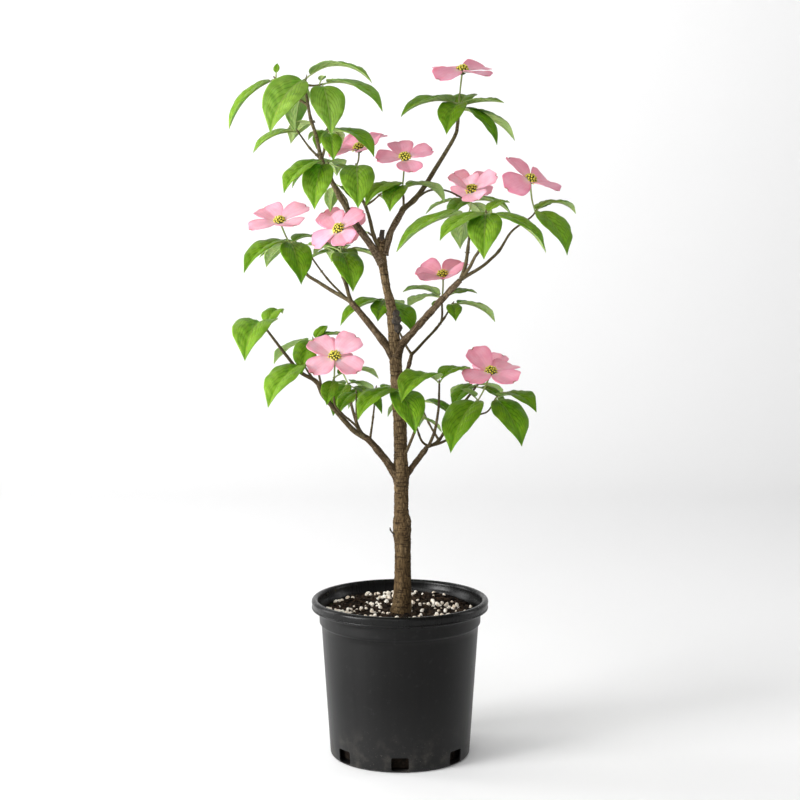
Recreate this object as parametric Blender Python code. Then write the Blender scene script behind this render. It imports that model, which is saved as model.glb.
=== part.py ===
"""A young flowering dogwood in a round nursery pot, modelled in millimetres and built in metres.

The frame: +Z is up, the origin is on the flat underside of the pot at its centre, and the side
that is seen from the front faces -Y. A heading is an angle in degrees about +Z, measured from +X.
"""

import math
import random
from typing import NamedTuple

import bmesh
import bpy
import numpy as np

MM = 0.001
GAP = 0.3
WELD = 0.0002
SEED = 11

# Pot: a blow-moulded container with a rolled rim and a shallow collar under it.
POT_HEIGHT = 242.0
RIM_RADIUS = 133.5
RIM_DEPTH = 15.0
MOUTH_RADIUS = 123.6
COLLAR_RADIUS = 122.3
COLLAR_TOP = 222.0
COLLAR_BOTTOM = 204.0
WAIST_RADIUS = 118.7
BASE_RADIUS = 106.0
BASE_ROUNDING = 7.0
WALL = 2.4
FLOOR = 3.2
POT_SIDES = 30
DRAIN_HOLES = 7
DRAIN_WIDTH = 26.0
DRAIN_BOTTOM = 3.6
DRAIN_TOP = 24.0
DRAIN_CORNER = 4.0

# Soil: it fills the pot to a little below the rim.
SOIL_TOP = 221.0

# Wood: sides of the tubes that stand for trunk, boughs, stems and twigs.
TRUNK_SIDES = 10
BOUGH_SIDES = 7
KNOT_LEVELS = 4
KNOT_SIDES = 7
STEM_SIDES = 6
TWIG_SIDES = 3
TWIG_RADIUS = 1.9
TWIG_TIP_RADIUS = 1.2

# Leaf: an egg-shaped blade with a drawn-out tip, its halves drooping a little from the midrib.
LEAF_WIDTH = 0.6
LEAF_THICKNESS = 1.2
LEAF_FOLD = 8.0
LEAF_BEND = 55.0
LEAF_STATIONS = (0.05, 0.32, 0.7)
PETIOLE = 9.0
PAIR_STEP = 4.0
ROOT_DEPTH = 1.6
PETIOLE_RADIUS = 1.0

# Bloom: four notched bracts round a dome of small florets, on a stalk.
BRACT_ROOT = 4.0
BRACT_STEP = 2.3
BRACT_LENGTH = 43.0
BRACT_WIDTH = 42.0
BRACT_THICKNESS = 1.1
BRACT_CUP = 14.0
BRACT_BEND = 24.0
BRACT_NOTCH = 0.05
BRACT_STATIONS = (0.1, 0.42, 0.8, 1.0)
DOME_RADIUS = 9.0
DOME_SIDES = 5
STALK_RADIUS = 1.3


class Leaf(NamedTuple):
    """A leaf by the way it points: dip is how far its tip lies below its base, in degrees."""

    heading: float
    dip: float
    length: float
    bend: float = LEAF_BEND
    roll: float = 0.0


class Bloom(NamedTuple):
    """A bloom by its centre and the way that it faces, with how far each bract is raised, in degrees.

    lift is the angle above the level at which the bloom faces.
    """

    centre: tuple
    heading: float
    lift: float
    spin: float = 45.0
    cups: tuple = (BRACT_CUP,) * 4
    size: float = 1.0


class Shoot(NamedTuple):
    """A leafy tip. Its twig leaves the stem at a share of the stem's length, and runs by via."""

    tip: tuple
    leaves: tuple = ()
    bloom: Bloom = None
    at: float = 1.0
    via: tuple = ()
    radius: float = TWIG_RADIUS


class Limb(NamedTuple):
    """A tapering limb along a smooth curve through its points."""

    points: tuple
    start_radius: float
    end_radius: float


def pairs(spin, count, longest=86):
    """Leaves in opposite pairs round a tip, each pair turned a quarter from the last, by a seeded rule."""
    vary = random.Random(SEED + spin)
    return tuple(
        Leaf(spin + 180 * (i % 2) + 90 * (i // 2) + vary.uniform(-12, 12), vary.uniform(14, 36),
             longest * vary.uniform(0.85, 1.0) - 6 * (i // 2), vary.uniform(55, 80))
        for i in range(count)
    )


# The trunk's centre line and its radius at each point, from the soil up to the fork.
TRUNK = (
    (1, -10, 221.3, 16.5), (3, -10, 236, 14.6), (4, -10, 268, 12.9), (4, -10, 322, 12.4),
    (3, -10, 342, 13.6), (3, -10, 360, 13.8), (2, -9, 376, 11.2), (2, -8, 412, 11.0),
    (2, -8, 434, 12.4), (1, -7, 456, 10.4), (0, -6, 506, 10.0), (-4, -5, 555, 9.3),
    (-7, -3, 611, 9.4), (-9, -2, 640, 8.8), (-13, 0, 680, 7.4), (-20, 0, 712, 6.2),
    (-25, 2, 742, 6.8), (-29, 4, 766, 7.6), (-28, 5, 786, 5.0),
)

# The leader's cut end at the fork, a dead spur, and the lumps of an old wound: centre, radius, seed.
CUT_STUB = Limb(((-28, 3, 762), (-27, 3, 788), (-26, 3, 797)), 4.4, 3.7)
SPUR = Limb(((-4, -14, 338), (-13, -18, 347), (-15, -18, 353)), 1.8, 1.1)
KNOTS = (((-5, -8, 664), 7.0, 3), ((-3, -7, 652), 6.8, 4), ((-6, -6, 674), 5.0, 5))

BOUGHS = {
    "bough_low_left": Limb(((-1, -8, 420), (-9, -10, 436), (-22, -17, 456), (-44, -30, 485), (-55, -35, 494)),
                           6.0, 4.8),
    "bough_low_right": Limb(((1, -8, 418), (12, -7, 434), (26, 0, 452), (40, 5, 470)), 4.6, 3.8),
    "bough_mid_left": Limb(((-6, -3, 600), (-18, -2, 622), (-44, 14, 654), (-72, 30, 686)), 5.8, 4.6),
    "bough_mid_right": Limb(((-5, -6, 608), (3, -9, 628), (26, -17, 655), (58, -26, 692), (88, -35, 725)),
                            5.6, 4.4),
    "bough_mid_back": Limb(((-4, -5, 526), (0, 8, 545), (5, 22, 563), (11, 38, 582), (17, 55, 603)),
                           3.8, 3.0),
    "bough_low_back": Limb(((0, -8, 426), (-15, 15, 441), (-30, 45, 456), (-45, 75, 469)), 4.6, 3.6),
    "bough_back_right": Limb(((2, -8, 420), (15, 15, 435), (27, 45, 447), (40, 72, 459)), 4.2, 3.3),
    "bough_back_left": Limb(((-8, 4, 606), (-22, 32, 622), (-49, 75, 652), (-74, 118, 677)), 4.4, 3.4),
    "bough_top_left": Limb(((-27, 3, 748), (-37, 0, 765), (-49, -6, 783), (-65, -12, 806), (-74, -16, 822)),
                           5.4, 5.0),
    "bough_top_right": Limb(((-24, 4, 760), (-18, 8, 779), (-13, 12, 795), (4, 19, 825)), 5.0, 4.6),
}

# Each foliage mass: the limb that its stem goes on from, the stem, and the shoots along it.
MASSES = {
    "foliage_low_left": (
        "bough_low_left",
        Limb(((-69, -42, 504), (-88, -53, 527), (-112, -66, 559), (-122, -74, 580), (-144, -85, 595),
              (-162, -95, 618), (-192, -112, 661)), 4.4, 1.8),
        (
            Shoot((-192, -112, 661), (Leaf(-105, 20, 112, 115), Leaf(66, -20, 55, 110))),
            Shoot((-65, -14, 557), (Leaf(-119, 23, 48, 60),), None, 0.02, ((-64, -30, 512),)),
            Shoot((-96, -78, 587), (Leaf(-102, 38, 48, 40), Leaf(30, 4, 72, 80)),
                  Bloom((-94, -94, 619), -90, 54, 47, (11, 7, -4, 0)), 0.04,
                  ((-67, -46, 513), (-86, -60, 532), (-96, -68, 549))),
            Shoot((-128, -34, 638), (Leaf(-102, 32, 75), Leaf(153, 30, 72), Leaf(42, -6, 52),
                                     Leaf(57, -31, 35, 40)), None, 0.44),
            Shoot((-140, -86, 607), (Leaf(-123, 31, 98, 60),), None, 0.55),
        ),
    ),
    "foliage_low_right": (
        "bough_low_right",
        Limb(((44, 0, 476), (52, -10, 499), (57, -18, 531), (58, -24, 560), (58, -26, 573)), 2.7, 1.5),
        (
            Shoot((58, -26, 573), (Leaf(-128, 12, 100, 110), Leaf(48, -3, 72, 95))),
            Shoot((118, 50, 538), (Leaf(-117, 36, 112), Leaf(-129, -26, 40, 30)),
                  Bloom((136, 6, 585), -93, 67, 47, (-12, 34, 2, 4), 1.06), 0.02,
                  ((65, 20, 477), (91, 36, 491), (114, 48, 508)), 2.3),
            Shoot((146, 54, 539), (Leaf(-64, 37, 98), Leaf(-47, 8, 85, 80), Leaf(37, 22, 50)), None, 0.03,
                  ((66, 24, 477), (94, 40, 493), (118, 52, 512), (134, 55, 519))),
            Shoot((20, 12, 518), (Leaf(80, 25, 50), Leaf(20, 30, 45)), None, 0.02, ((31, 2, 484),)),
        ),
    ),
    "foliage_front": (
        "trunk",
        Limb(((3, -8, 455), (11, -14, 471), (21, -28, 498), (35, -42, 538), (32, -44, 553)), 2.6, 1.6),
        (
            Shoot((-4, -40, 562), (Leaf(-73, 31, 95, 60), Leaf(-132, 21, 92, 80)), None, 0.8),
        ),
    ),
    "foliage_low_back": (
        "bough_low_back",
        Limb(((-62, 98, 483), (-75, 118, 518), (-80, 120, 554)), 3.2, 1.8),
        (
            Shoot((-80, 120, 554), pairs(60, 4, 76), Bloom((-99, 128, 594), 110, 40, size=0.8)),
            Shoot((-37, 118, 546), pairs(40, 3, 70), None, 0.1),
        ),
    ),
    "foliage_back_right": (
        "bough_back_right",
        Limb(((60, 94, 468), (81, 110, 500), (121, 128, 551)), 2.9, 1.8),
        (
            Shoot((121, 128, 551), pairs(50, 4, 64), Bloom((140, 146, 576), 75, 50, size=0.75)),
            Shoot((29, 105, 528), pairs(150, 2, 66), None, 0.3),
        ),
    ),
    "foliage_mid_left": (
        "bough_mid_left",
        Limb(((-102, 44, 703), (-124, 54, 716), (-141, 60, 727), (-157, 66, 752), (-168, 68, 777)), 3.4, 1.8),
        (
            Shoot((-168, 68, 777), (Leaf(-136, 26, 95, 60), Leaf(-73, 40, 88), Leaf(52, -4, 60, 50),
                                    Leaf(136, 35, 60)),
                  Bloom((-180, 45, 807), -113, 67, 54, (8, 12, 4, 11), 1.08)),
            Shoot((-88, 10, 765), (Leaf(142, 10, 52, 95), Leaf(-75, 35, 88)),
                  Bloom((-89, -48, 800), -128, 50, 50, (4, 3, -7, 1), 0.94), 0.05,
                  ((-82, 30, 716), (-88, 23, 736)), 3.0),
        ),
    ),
    "foliage_back_left": (
        "bough_back_left",
        Limb(((-83, 130, 710), (-86, 134, 762)), 3.1, 1.8),
        (
            Shoot((-86, 134, 762), pairs(100, 4, 74), Bloom((-92, 158, 786), 110, 40)),
            Shoot((-150, 126, 768), pairs(170, 2, 74), None, 0.3),
        ),
    ),
    "foliage_mid_right": (
        "bough_mid_right",
        Limb(((101, -40, 743), (109, -50, 760), (115, -58, 771), (121, -66, 800), (124, -66, 826)), 2.8, 1.6),
        (
            Shoot((124, -66, 826), (Leaf(-138, 22, 92, 50), Leaf(-94, 40, 92), Leaf(46, -18, 50, 60),
                                    Leaf(-27, 28, 105, 65))),
            Shoot((100, -20, 824), (Leaf(-164, 27, 118, 50), Leaf(100, 44, 75, 50)),
                  Bloom((105, -23, 856), -122, 56, 38, (12, -1, 52, 11), 0.9), 0.03,
                  ((92, -35, 733), (97, -33, 752), (101, -26, 783), (103, -22, 798)), 3.2),
            Shoot((201, -14, 827), (Leaf(30, 5, 70, 90), Leaf(-56, 40, 92, 60), Leaf(59, -11, 45, 40)),
                  Bloom((191, -19, 871), -40, 48, 4, (-7, -1, -20, 27), 1.08), 0.06,
                  ((117, -36, 743), (132, -34, 755), (146, -30, 769), (164, -24, 796), (192, -16, 816)), 2.8),
        ),
    ),
    "foliage_mid_back": (
        "bough_mid_back",
        Limb(((24, 61, 611), (38, 72, 625), (55, 84, 642), (64, 94, 656), (64, 108, 688)), 2.5, 1.6),
        (
            Shoot((64, 108, 688), (Leaf(-146, -10, 68, 60), Leaf(133, 15, 75, 60), Leaf(34, -7, 62, 60),
                                   Leaf(-111, 17, 30, 40)),
                  Bloom((66, 114, 721), -119, 51, 74, (-16, 9, 33, 29))),
            Shoot((81, 104, 679), (Leaf(29, 22, 78, 60), Leaf(-85, 25, 45, 50)), None, 0.7),
            Shoot((-23, 106, 684), (Leaf(-144, 22, 85, 60), Leaf(-100, 23, 60, 50), Leaf(-59, 26, 85, 60),
                                    Leaf(80, 20, 80, 60)), None, 0.02,
                  ((9, 66, 618), (0, 80, 635), (-21, 100, 664))),
        ),
    ),
    "foliage_centre": (
        "trunk",
        Limb(((-31, 2, 770), (-39, -4, 789), (-45, -12, 815), (-51, -20, 834), (-57, -26, 846),
              (-62, -26, 870), (-64, -24, 895)), 3.2, 1.8),
        (
            Shoot((-64, -24, 895), (Leaf(-87, 39, 92),),
                  Bloom((-61, 31, 916), -145, 60, 88, (-8, 12, 16, 10), 1.06)),
            Shoot((-47, 12, 792), (Leaf(150, 0, 34, 40),), None, 0.1),
            Shoot((-29, -24, 850), (Leaf(70, 20, 40, 40),), None, 0.42),
        ),
    ),
    "foliage_top_left": (
        "bough_top_left",
        Limb(((-88, -22, 846), (-104, -28, 878), (-114, -32, 900), (-122, -36, 936), (-129, -40, 958),
              (-133, -42, 979), (-137, -46, 1008), (-135, -48, 1018)), 4.3, 1.6),
        (
            Shoot((-135, -48, 1018), (Leaf(-127, 44, 108, 60, -25), Leaf(-20, 4, 105, 95),
                                      Leaf(122, 68, 75, 50))),
            Shoot((-111, -40, 1009), (Leaf(-27, 22, 105, 75), Leaf(-77, 48, 92), Leaf(-73, -23, 22, 40)),
                  None, 0.9),
            Shoot((-181, -30, 1018), (Leaf(-162, 46, 96), Leaf(82, -62, 17, 40)), None, 0.8),
            Shoot((-149, -36, 942), (Leaf(-152, 23, 72, 60),), None, 0.42),
            Shoot((-125, -30, 955), (Leaf(123, 26, 68, 50),), None, 0.62),
            Shoot((-103, -38, 942), (Leaf(-80, 41, 55, 50), Leaf(-34, 24, 85, 75)), None, 0.45),
            Shoot((-113, -38, 898), (Leaf(-129, 27, 90, 60), Leaf(-99, 47, 85)), None, 0.36),
            Shoot((-96, 14, 864), (Leaf(-38, 36, 45, 50), Leaf(106, 53, 45, 50)), None, 0.02,
                  ((-79, 0, 840),)),
            Shoot((-108, 56, 894), pairs(75, 4, 78), None, 0.2),
            Shoot((-108, 28, 944), pairs(60, 3, 46), None, 0.5),
        ),
    ),
    "foliage_top_right": (
        "bough_top_right",
        Limb(((21, 26, 840), (36, 34, 859), (50, 42, 881), (80, 56, 930), (86, 60, 950), (88, 60, 983)),
             4.2, 2.4),
        (
            Shoot((88, 60, 983), (Leaf(-150, 11, 98, 60), Leaf(-106, 32, 80, 60), Leaf(-32, -4, 70, 30),
                                  Leaf(-27, 42, 80, 60), Leaf(14, 28, 95), Leaf(72, -11, 70, 70)),
                  Bloom((93, 57, 1031), -40, 73, 356, (8, -14, -22, 8), 1.08)),
            Shoot((3, 0, 860), (Leaf(-129, 16, 85, 80), Leaf(-108, 30, 65, 90), Leaf(32, 16, 78, 95)),
                  Bloom((7, -19, 903), -89, 61, 12, (10, 8, 2, 2), 0.9), 0.02, ((5, 12, 846),)),
            Shoot((108, 106, 832), pairs(65, 4, 76), Bloom((109, 126, 854), 85, 50, size=0.8), 0.3,
                  ((45, 60, 853), (73, 84, 851))),
        ),
    ),
}


def direction(heading, lift):
    """The unit vector with this heading, at this angle above the level."""
    turn, rise = math.radians(heading), math.radians(lift)
    return np.array((math.cos(rise) * math.cos(turn), math.cos(rise) * math.sin(turn), math.sin(rise)))


def unit(vector):
    return vector / np.linalg.norm(vector)


def smooth_path(points, step):
    """Points about one step apart on the Catmull-Rom curve through the given points."""
    given = np.array(points, float)
    ends = np.vstack((2 * given[0] - given[1], given, 2 * given[-1] - given[-2]))
    path = [given[0]]
    for before, start, end, after in zip(ends, ends[1:], ends[2:], ends[3:]):
        count = max(1, round(np.linalg.norm(end - start) / step))
        for t in np.arange(1, count + 1) / count:
            path.append(0.5 * (2 * start + (end - before) * t
                               + (2 * before - 5 * start + 4 * end - after) * t ** 2
                               + (3 * start - before - 3 * end + after) * t ** 3))
    return np.array(path)


def skin(rings, tip=None):
    """Points and faces of a closed skin over rings of equal count, ending in a cap or in a point."""
    sides = len(rings[0])
    points = [point for ring in rings for point in ring]
    faces = [tuple(range(sides))[::-1]]
    for low in range(0, sides * (len(rings) - 1), sides):
        for i in range(sides):
            j = (i + 1) % sides
            faces.append((low + i, low + j, low + sides + j, low + sides + i))
    last = sides * (len(rings) - 1)
    if tip is None:
        faces.append(tuple(range(last, last + sides)))
    else:
        points.append(tip)
        faces.extend((last + i, last + (i + 1) % sides, len(points) - 1) for i in range(sides))
    return points, faces


def tube(path, radii, sides):
    """A round tube along a path, with the radius given at each point."""
    tangents = [unit(b - a) for a, b in zip(path, path[1:])]
    tangents = [tangents[0]] + [unit(a + b) for a, b in zip(tangents, tangents[1:])] + [tangents[-1]]
    across = unit(np.cross(tangents[0], (0.31, 0.95, 0.05)))
    rings = []
    for point, tangent, radius in zip(path, tangents, radii):
        across = unit(across - tangent * np.dot(across, tangent))
        other = np.cross(tangent, across)
        turns = [2 * math.pi * i / sides for i in range(sides)]
        rings.append([point + radius * (math.cos(a) * across + math.sin(a) * other) for a in turns])
    return skin(rings)


def taper(path, start_radius, end_radius):
    """Radii that fall evenly along a path."""
    steps = np.linalg.norm(np.diff(path, axis=0), axis=1)
    share = np.concatenate(((0.0,), np.cumsum(steps))) / steps.sum()
    return start_radius + (end_radius - start_radius) * share


def leaf_outline(t):
    """Half the width of a leaf at a share of its length, as a part of the widest."""
    body = t ** 0.72 * (1 - t) ** 1.02 / 0.305
    drawn_out = 1 - 0.35 * max(0.0, (t - 0.75) / 0.25)
    return max(0.05, body * drawn_out)


def bract_outline(t):
    """Half the width of a bract: a narrow claw that swells to a broad rounded end."""
    return 0.16 * (1 - t) + t ** 0.9 * (1.05 - t) ** 0.5 / 0.433


def blade(base, out, up, rise, bend, roll, length, width, thickness, fold, outline, stations, neck):
    """Four-sided rings along a blade that starts at an angle and bends away from up.

    out and up are unit vectors. neck is the length and the radius of the stalk before the blade.
    """
    neck_length, neck_radius = neck
    whole = neck_length + length
    places = [0.0] + [(neck_length + t * length) / whole for t in stations]
    widths = [neck_radius] + [max(neck_radius, width / 2 * outline(t)) for t in stations]
    heights = [neck_radius] + [thickness / 2] * len(stations)
    rings = []
    for place, half, height in zip(places + [1.0], widths + [0.0], heights + [0.0]):
        # The midrib is an arc, so its point is the chord of the part behind it.
        angle = math.radians(rise - bend * place)
        mean = math.radians(rise - bend * place / 2)
        chord = whole * place * np.sinc(math.radians(bend * place / 2) / math.pi)
        point = base + chord * (math.cos(mean) * out + math.sin(mean) * up)
        normal = -math.sin(angle) * out + math.cos(angle) * up
        side = np.cross(math.cos(angle) * out + math.sin(angle) * up, normal)
        normal, side = (math.cos(roll) * normal + math.sin(roll) * side,
                        math.cos(roll) * side - math.sin(roll) * normal)
        lifted = half * (math.sin(fold) if half > neck_radius else 0.0)
        level = half * (math.cos(fold) if half > neck_radius else 1.0)
        rings.append((point - level * side + lifted * normal, point - height * normal,
                      point + level * side + lifted * normal, point + height * normal))
    return rings


def leaf(base, kind):
    """A closed leaf on its own short stalk, bent down towards a pointed tip."""
    out, up = direction(kind.heading, 0), np.array((0, 0, 1.0))
    rings = blade(base, out, up, kind.bend / 2 - kind.dip, kind.bend, math.radians(kind.roll),
                  kind.length, kind.length * LEAF_WIDTH, LEAF_THICKNESS, math.radians(LEAF_FOLD),
                  leaf_outline, LEAF_STATIONS, (PETIOLE, PETIOLE_RADIUS))
    return skin(rings[:-1], rings[-1][0])


def bract(base, axis, around, cup, size):
    """A closed bract whose rounded end is notched."""
    length = BRACT_LENGTH * size
    rings = blade(base, around, axis, cup + BRACT_BEND / 2, BRACT_BEND, 0.0, length, BRACT_WIDTH * size,
                  BRACT_THICKNESS, math.radians(10), bract_outline, BRACT_STATIONS, (1.5, 1.5))[:-1]
    left, under, right, over = rings[-1]
    back = unit(rings[-1][1] - rings[-2][1]) * length * BRACT_NOTCH
    rings[-1] = (left, under - back, right, over - back)
    return skin(rings)


def dome(centre, axis, radius):
    """A low dome of florets: rings round the axis, closed by a point."""
    across = unit(np.cross(axis, (0.9, 0.2, 0.35)))
    other = np.cross(axis, across)
    turns = [2 * math.pi * i / DOME_SIDES for i in range(DOME_SIDES)]
    rings = []
    for height, share in ((-0.5, 0.8), (0.25, 1.0)):
        middle = centre + axis * height * radius
        rings.append([middle + share * radius * (math.cos(a) * across + math.sin(a) * other) for a in turns])
    return skin(rings, centre + axis * 0.85 * radius)


def bloom_shapes(kind, node):
    """The four bracts, an outer pair under an inner one, the dome and the stalk of a bloom on a node."""
    centre = np.array(kind.centre, float)
    axis = direction(kind.heading, kind.lift)
    right = unit(np.cross((0, 0, 1.0), axis))
    top = np.cross(axis, right)
    for i in range(4):
        turn = math.radians(kind.spin + 90 * i)
        around = math.cos(turn) * right + math.sin(turn) * top
        base = centre + BRACT_ROOT * around - BRACT_STEP * (i % 2) * axis
        yield bract(base, axis, around, kind.cups[i], kind.size)
    yield dome(centre, axis, DOME_RADIUS)
    start = np.array(node, float)
    middle = (start + centre) / 2 - axis * 3 + np.array((0, 0, -1.0))
    path = smooth_path((start, middle, centre + axis), 20)
    yield tube(path, taper(path, STALK_RADIUS, STALK_RADIUS), TWIG_SIDES)


def new_object(name, points, faces):
    """A mesh object from points in millimetres."""
    mesh = bpy.data.meshes.new(name)
    mesh.from_pydata([tuple(float(value) * MM for value in point) for point in points], [], faces)
    obj = bpy.data.objects.new(name, mesh)
    bpy.context.scene.collection.objects.link(obj)
    return obj


def bake(obj):
    """Replaces the object's mesh with what its modifiers make of it."""
    graph = bpy.context.evaluated_depsgraph_get()
    made = bpy.data.meshes.new_from_object(obj.evaluated_get(graph))
    obj.modifiers.clear()
    obj.data = made


def keep_outer_shell(obj):
    """Drops the skins of sealed hollows and loose scraps. It says whether what is left is closed."""
    work = bmesh.new()
    work.from_mesh(obj.data)
    bmesh.ops.remove_doubles(work, verts=work.verts, dist=WELD * MM)
    left = set(work.faces)
    shells = []
    while left:
        front = [left.pop()]
        shell = []
        while front:
            face = front.pop()
            shell.append(face)
            near = {other for edge in face.edges for other in edge.link_faces} & left
            left -= near
            front.extend(near)
        shells.append(shell)
    keep = max(shells, key=len)
    scraps = [face for shell in shells if shell is not keep for face in shell]
    whole = len(keep) > 0.8 * (len(keep) + len(scraps))
    bmesh.ops.delete(work, geom=scraps, context="FACES")
    closed = all(len(edge.link_faces) == 2 for edge in work.edges)
    work.to_mesh(obj.data)
    work.free()
    return closed and whole


def apply_boolean(obj, operation, **operand):
    """Joins to or cuts from the object, by the slower solver first and the sturdier one if that fails."""
    before = obj.data
    for solver in ("EXACT", "MANIFOLD"):
        obj.data = before.copy()
        boolean = obj.modifiers.new("boolean", "BOOLEAN")
        boolean.operation, boolean.solver = operation, solver
        for setting, value in operand.items():
            setattr(boolean, setting, value)
        bake(obj)
        if keep_outer_shell(obj):
            return


def fuse(name, shapes):
    """One solid from overlapping closed shapes: a single Boolean union on a collection."""
    first, *rest = [new_object(name, *shape) for shape in shapes]
    group = bpy.data.collections.new(name + "_shapes")
    bpy.context.scene.collection.children.link(group)
    for obj in rest:
        bpy.context.scene.collection.objects.unlink(obj)
        group.objects.link(obj)
    apply_boolean(first, "UNION", operand_type="COLLECTION", collection=group)
    for obj in rest:
        bpy.data.objects.remove(obj)
    bpy.data.collections.remove(group)
    return first


def cut_clear(obj, points, faces):
    """Cuts a shape away from the object."""
    cutter = new_object("cutter", points, faces)
    apply_boolean(obj, "DIFFERENCE", object=cutter)
    bpy.data.objects.remove(cutter)


def material(name, colour, roughness):
    made = bpy.data.materials.new(name)
    made.use_nodes = True
    shader = made.node_tree.nodes["Principled BSDF"]
    shader.inputs["Base Color"].default_value = (*colour, 1.0)
    shader.inputs["Roughness"].default_value = roughness
    return made


def arc(centre_radius, centre_height, radius, start, end, steps):
    """Points (radius, height) on a round stretch of a profile, between two angles in degrees."""
    turns = np.radians(np.linspace(start, end, steps + 1))
    return [(centre_radius + radius * math.cos(a), centre_height + radius * math.sin(a)) for a in turns]


def turned(name, profile, sides):
    """A solid turned about the vertical axis from a profile that starts and ends on the axis."""
    low, *outer, high = profile
    rings = [[(r * math.cos(2 * math.pi * i / sides), r * math.sin(2 * math.pi * i / sides), z)
              for i in range(sides)] for r, z in outer]
    points, faces = skin(rings)
    points += [(0, 0, low[1]), (0, 0, high[1])]
    bottom, top, last = len(points) - 2, len(points) - 1, sides * (len(rings) - 1)
    faces = faces[1:-1]
    for i in range(sides):
        j = (i + 1) % sides
        faces += [(j, i, bottom), (last + i, last + j, top)]
    return new_object(name, points, faces)


def wall_radius(height):
    """The outer radius of the pot's plain body, which tapers to the base."""
    share = (height - BASE_ROUNDING) / (COLLAR_BOTTOM - BASE_ROUNDING)
    return BASE_RADIUS + (WAIST_RADIUS - BASE_RADIUS) * share


def build_pot():
    """The pot: base, body, collar and rolled rim outside, plain wall inside, and drain holes."""
    lip = (RIM_RADIUS - MOUTH_RADIUS) / 2
    lip_bottom = POT_HEIGHT - RIM_DEPTH
    profile = [(0, 0), (BASE_RADIUS - BASE_ROUNDING, 0)]
    profile += arc(BASE_RADIUS - BASE_ROUNDING, BASE_ROUNDING, BASE_ROUNDING, -50, 0, 1)
    profile += [(WAIST_RADIUS, COLLAR_BOTTOM - 1), (COLLAR_RADIUS - 1, COLLAR_BOTTOM + 1)]
    profile += [(COLLAR_RADIUS, COLLAR_TOP), (RIM_RADIUS - 3, lip_bottom), (RIM_RADIUS, lip_bottom + 2)]
    profile += arc(MOUTH_RADIUS + lip, POT_HEIGHT - lip, lip, 0, 180, 4)
    profile += [(MOUTH_RADIUS, lip_bottom), (COLLAR_RADIUS - WALL, COLLAR_TOP),
                (WAIST_RADIUS - WALL, COLLAR_BOTTOM - 4), (wall_radius(BASE_ROUNDING) - WALL, FLOOR),
                (0, FLOOR)]
    pot = turned("pot", profile, POT_SIDES)
    for i in range(DRAIN_HOLES):
        turn = -90 + 360 * i / DRAIN_HOLES
        cut_clear(pot, *drain_hole(turn))
    return pot


def drain_hole(heading):
    """A block with a round-cornered outline, run through the wall at a heading."""
    out, side = direction(heading, 0), direction(heading + 90, 0)
    across = DRAIN_WIDTH / 2 - DRAIN_CORNER
    low, high = DRAIN_BOTTOM + DRAIN_CORNER, DRAIN_TOP - DRAIN_CORNER
    outline = []
    for x, z, start in ((across, high, 0), (-across, high, 90), (-across, low, 180), (across, low, 270)):
        outline += arc(x, z, DRAIN_CORNER, start, start + 90, 1)
    rings = [[out * radius + side * x + np.array((0, 0, z)) for x, z in outline]
             for radius in (BASE_RADIUS - 6 * WALL, BASE_RADIUS + 6 * WALL)]
    return skin(rings)


def build_soil():
    """The potting mix, 0.3 mm clear of the pot all round."""
    inside = WALL + GAP
    foot = wall_radius(BASE_ROUNDING) - inside
    profile = [(0, FLOOR + GAP), (foot, FLOOR + GAP), (WAIST_RADIUS - inside, COLLAR_BOTTOM - 4),
               (COLLAR_RADIUS - inside - 0.4, SOIL_TOP - 1.5), (0, SOIL_TOP)]
    return turned("soil", profile, POT_SIDES)


def trunk_shape(extra=0.0):
    """The trunk's tube, made thicker by a margin where it cuts what meets it."""
    rows = smooth_path(TRUNK, 60)
    points, faces = tube(rows[:, :3], rows[:, 3] + extra, TRUNK_SIDES)
    for point in points[:TRUNK_SIDES]:
        point[2] = TRUNK[0][2]
    return points, faces


def bough_shape(limb, extra=0.0):
    """A bough's tube, made thicker and longer by a margin where it cuts what meets it."""
    path = smooth_path(limb.points, 36)
    onward = unit(path[-1] - path[-2])
    path[-1] = path[-1] + onward * extra
    return tube(path, taper(path, limb.start_radius, limb.end_radius) + extra, BOUGH_SIDES)


def knot(centre, radius, seed):
    """A rough lump: a dome of bark with seeded dents."""
    dents = random.Random(seed)
    rings = []
    for level in range(1, KNOT_LEVELS):
        polar = math.pi * level / KNOT_LEVELS
        sizes = [radius * dents.uniform(0.8, 1.15) for _ in range(KNOT_SIDES)]
        rings.append([np.array(centre) + size * direction(360 * i / KNOT_SIDES, math.degrees(polar) - 90)
                      for i, size in enumerate(sizes)])
    return skin(rings, np.array(centre) + np.array((0, 0, radius)))


def build_trunk():
    """The trunk with its flare, the swelling of its graft, an old wound and a cut stub."""
    shapes = [trunk_shape()] + [knot(*row) for row in KNOTS]
    for limb, sides in ((CUT_STUB, BOUGH_SIDES), (SPUR, TWIG_SIDES)):
        path = smooth_path(limb.points, 40)
        shapes.append(tube(path, taper(path, limb.start_radius, limb.end_radius), sides))
    return fuse("trunk", shapes)


def build_bough(name, limb):
    """A tapering bough, cut 0.3 mm clear of the trunk."""
    bough = new_object(name, *bough_shape(limb))
    cut_clear(bough, *trunk_shape(GAP))
    return bough


def stem_points(parent, limb):
    """The stem's points. One that goes on from a bough starts a little inside the bough's tip."""
    if parent == "trunk":
        return limb.points
    before, tip = (np.array(point, float) for point in BOUGHS[parent].points[-2:])
    onward = unit(tip - before)
    return (tip - onward * 4, tip + onward * 3, *limb.points)


def twig_path(stem, shoot):
    """A twig's curve from the stem to the tip of its shoot."""
    start = stem[max(1, round(shoot.at * (len(stem) - 1)))]
    tip = np.array(shoot.tip, float)
    if shoot.via:
        return smooth_path((start, *shoot.via, tip), 36)
    middle = (start + tip) / 2 + np.array((0, 0, -0.06)) * np.linalg.norm(tip - start)
    return smooth_path((start, middle, tip), 36)


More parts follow.
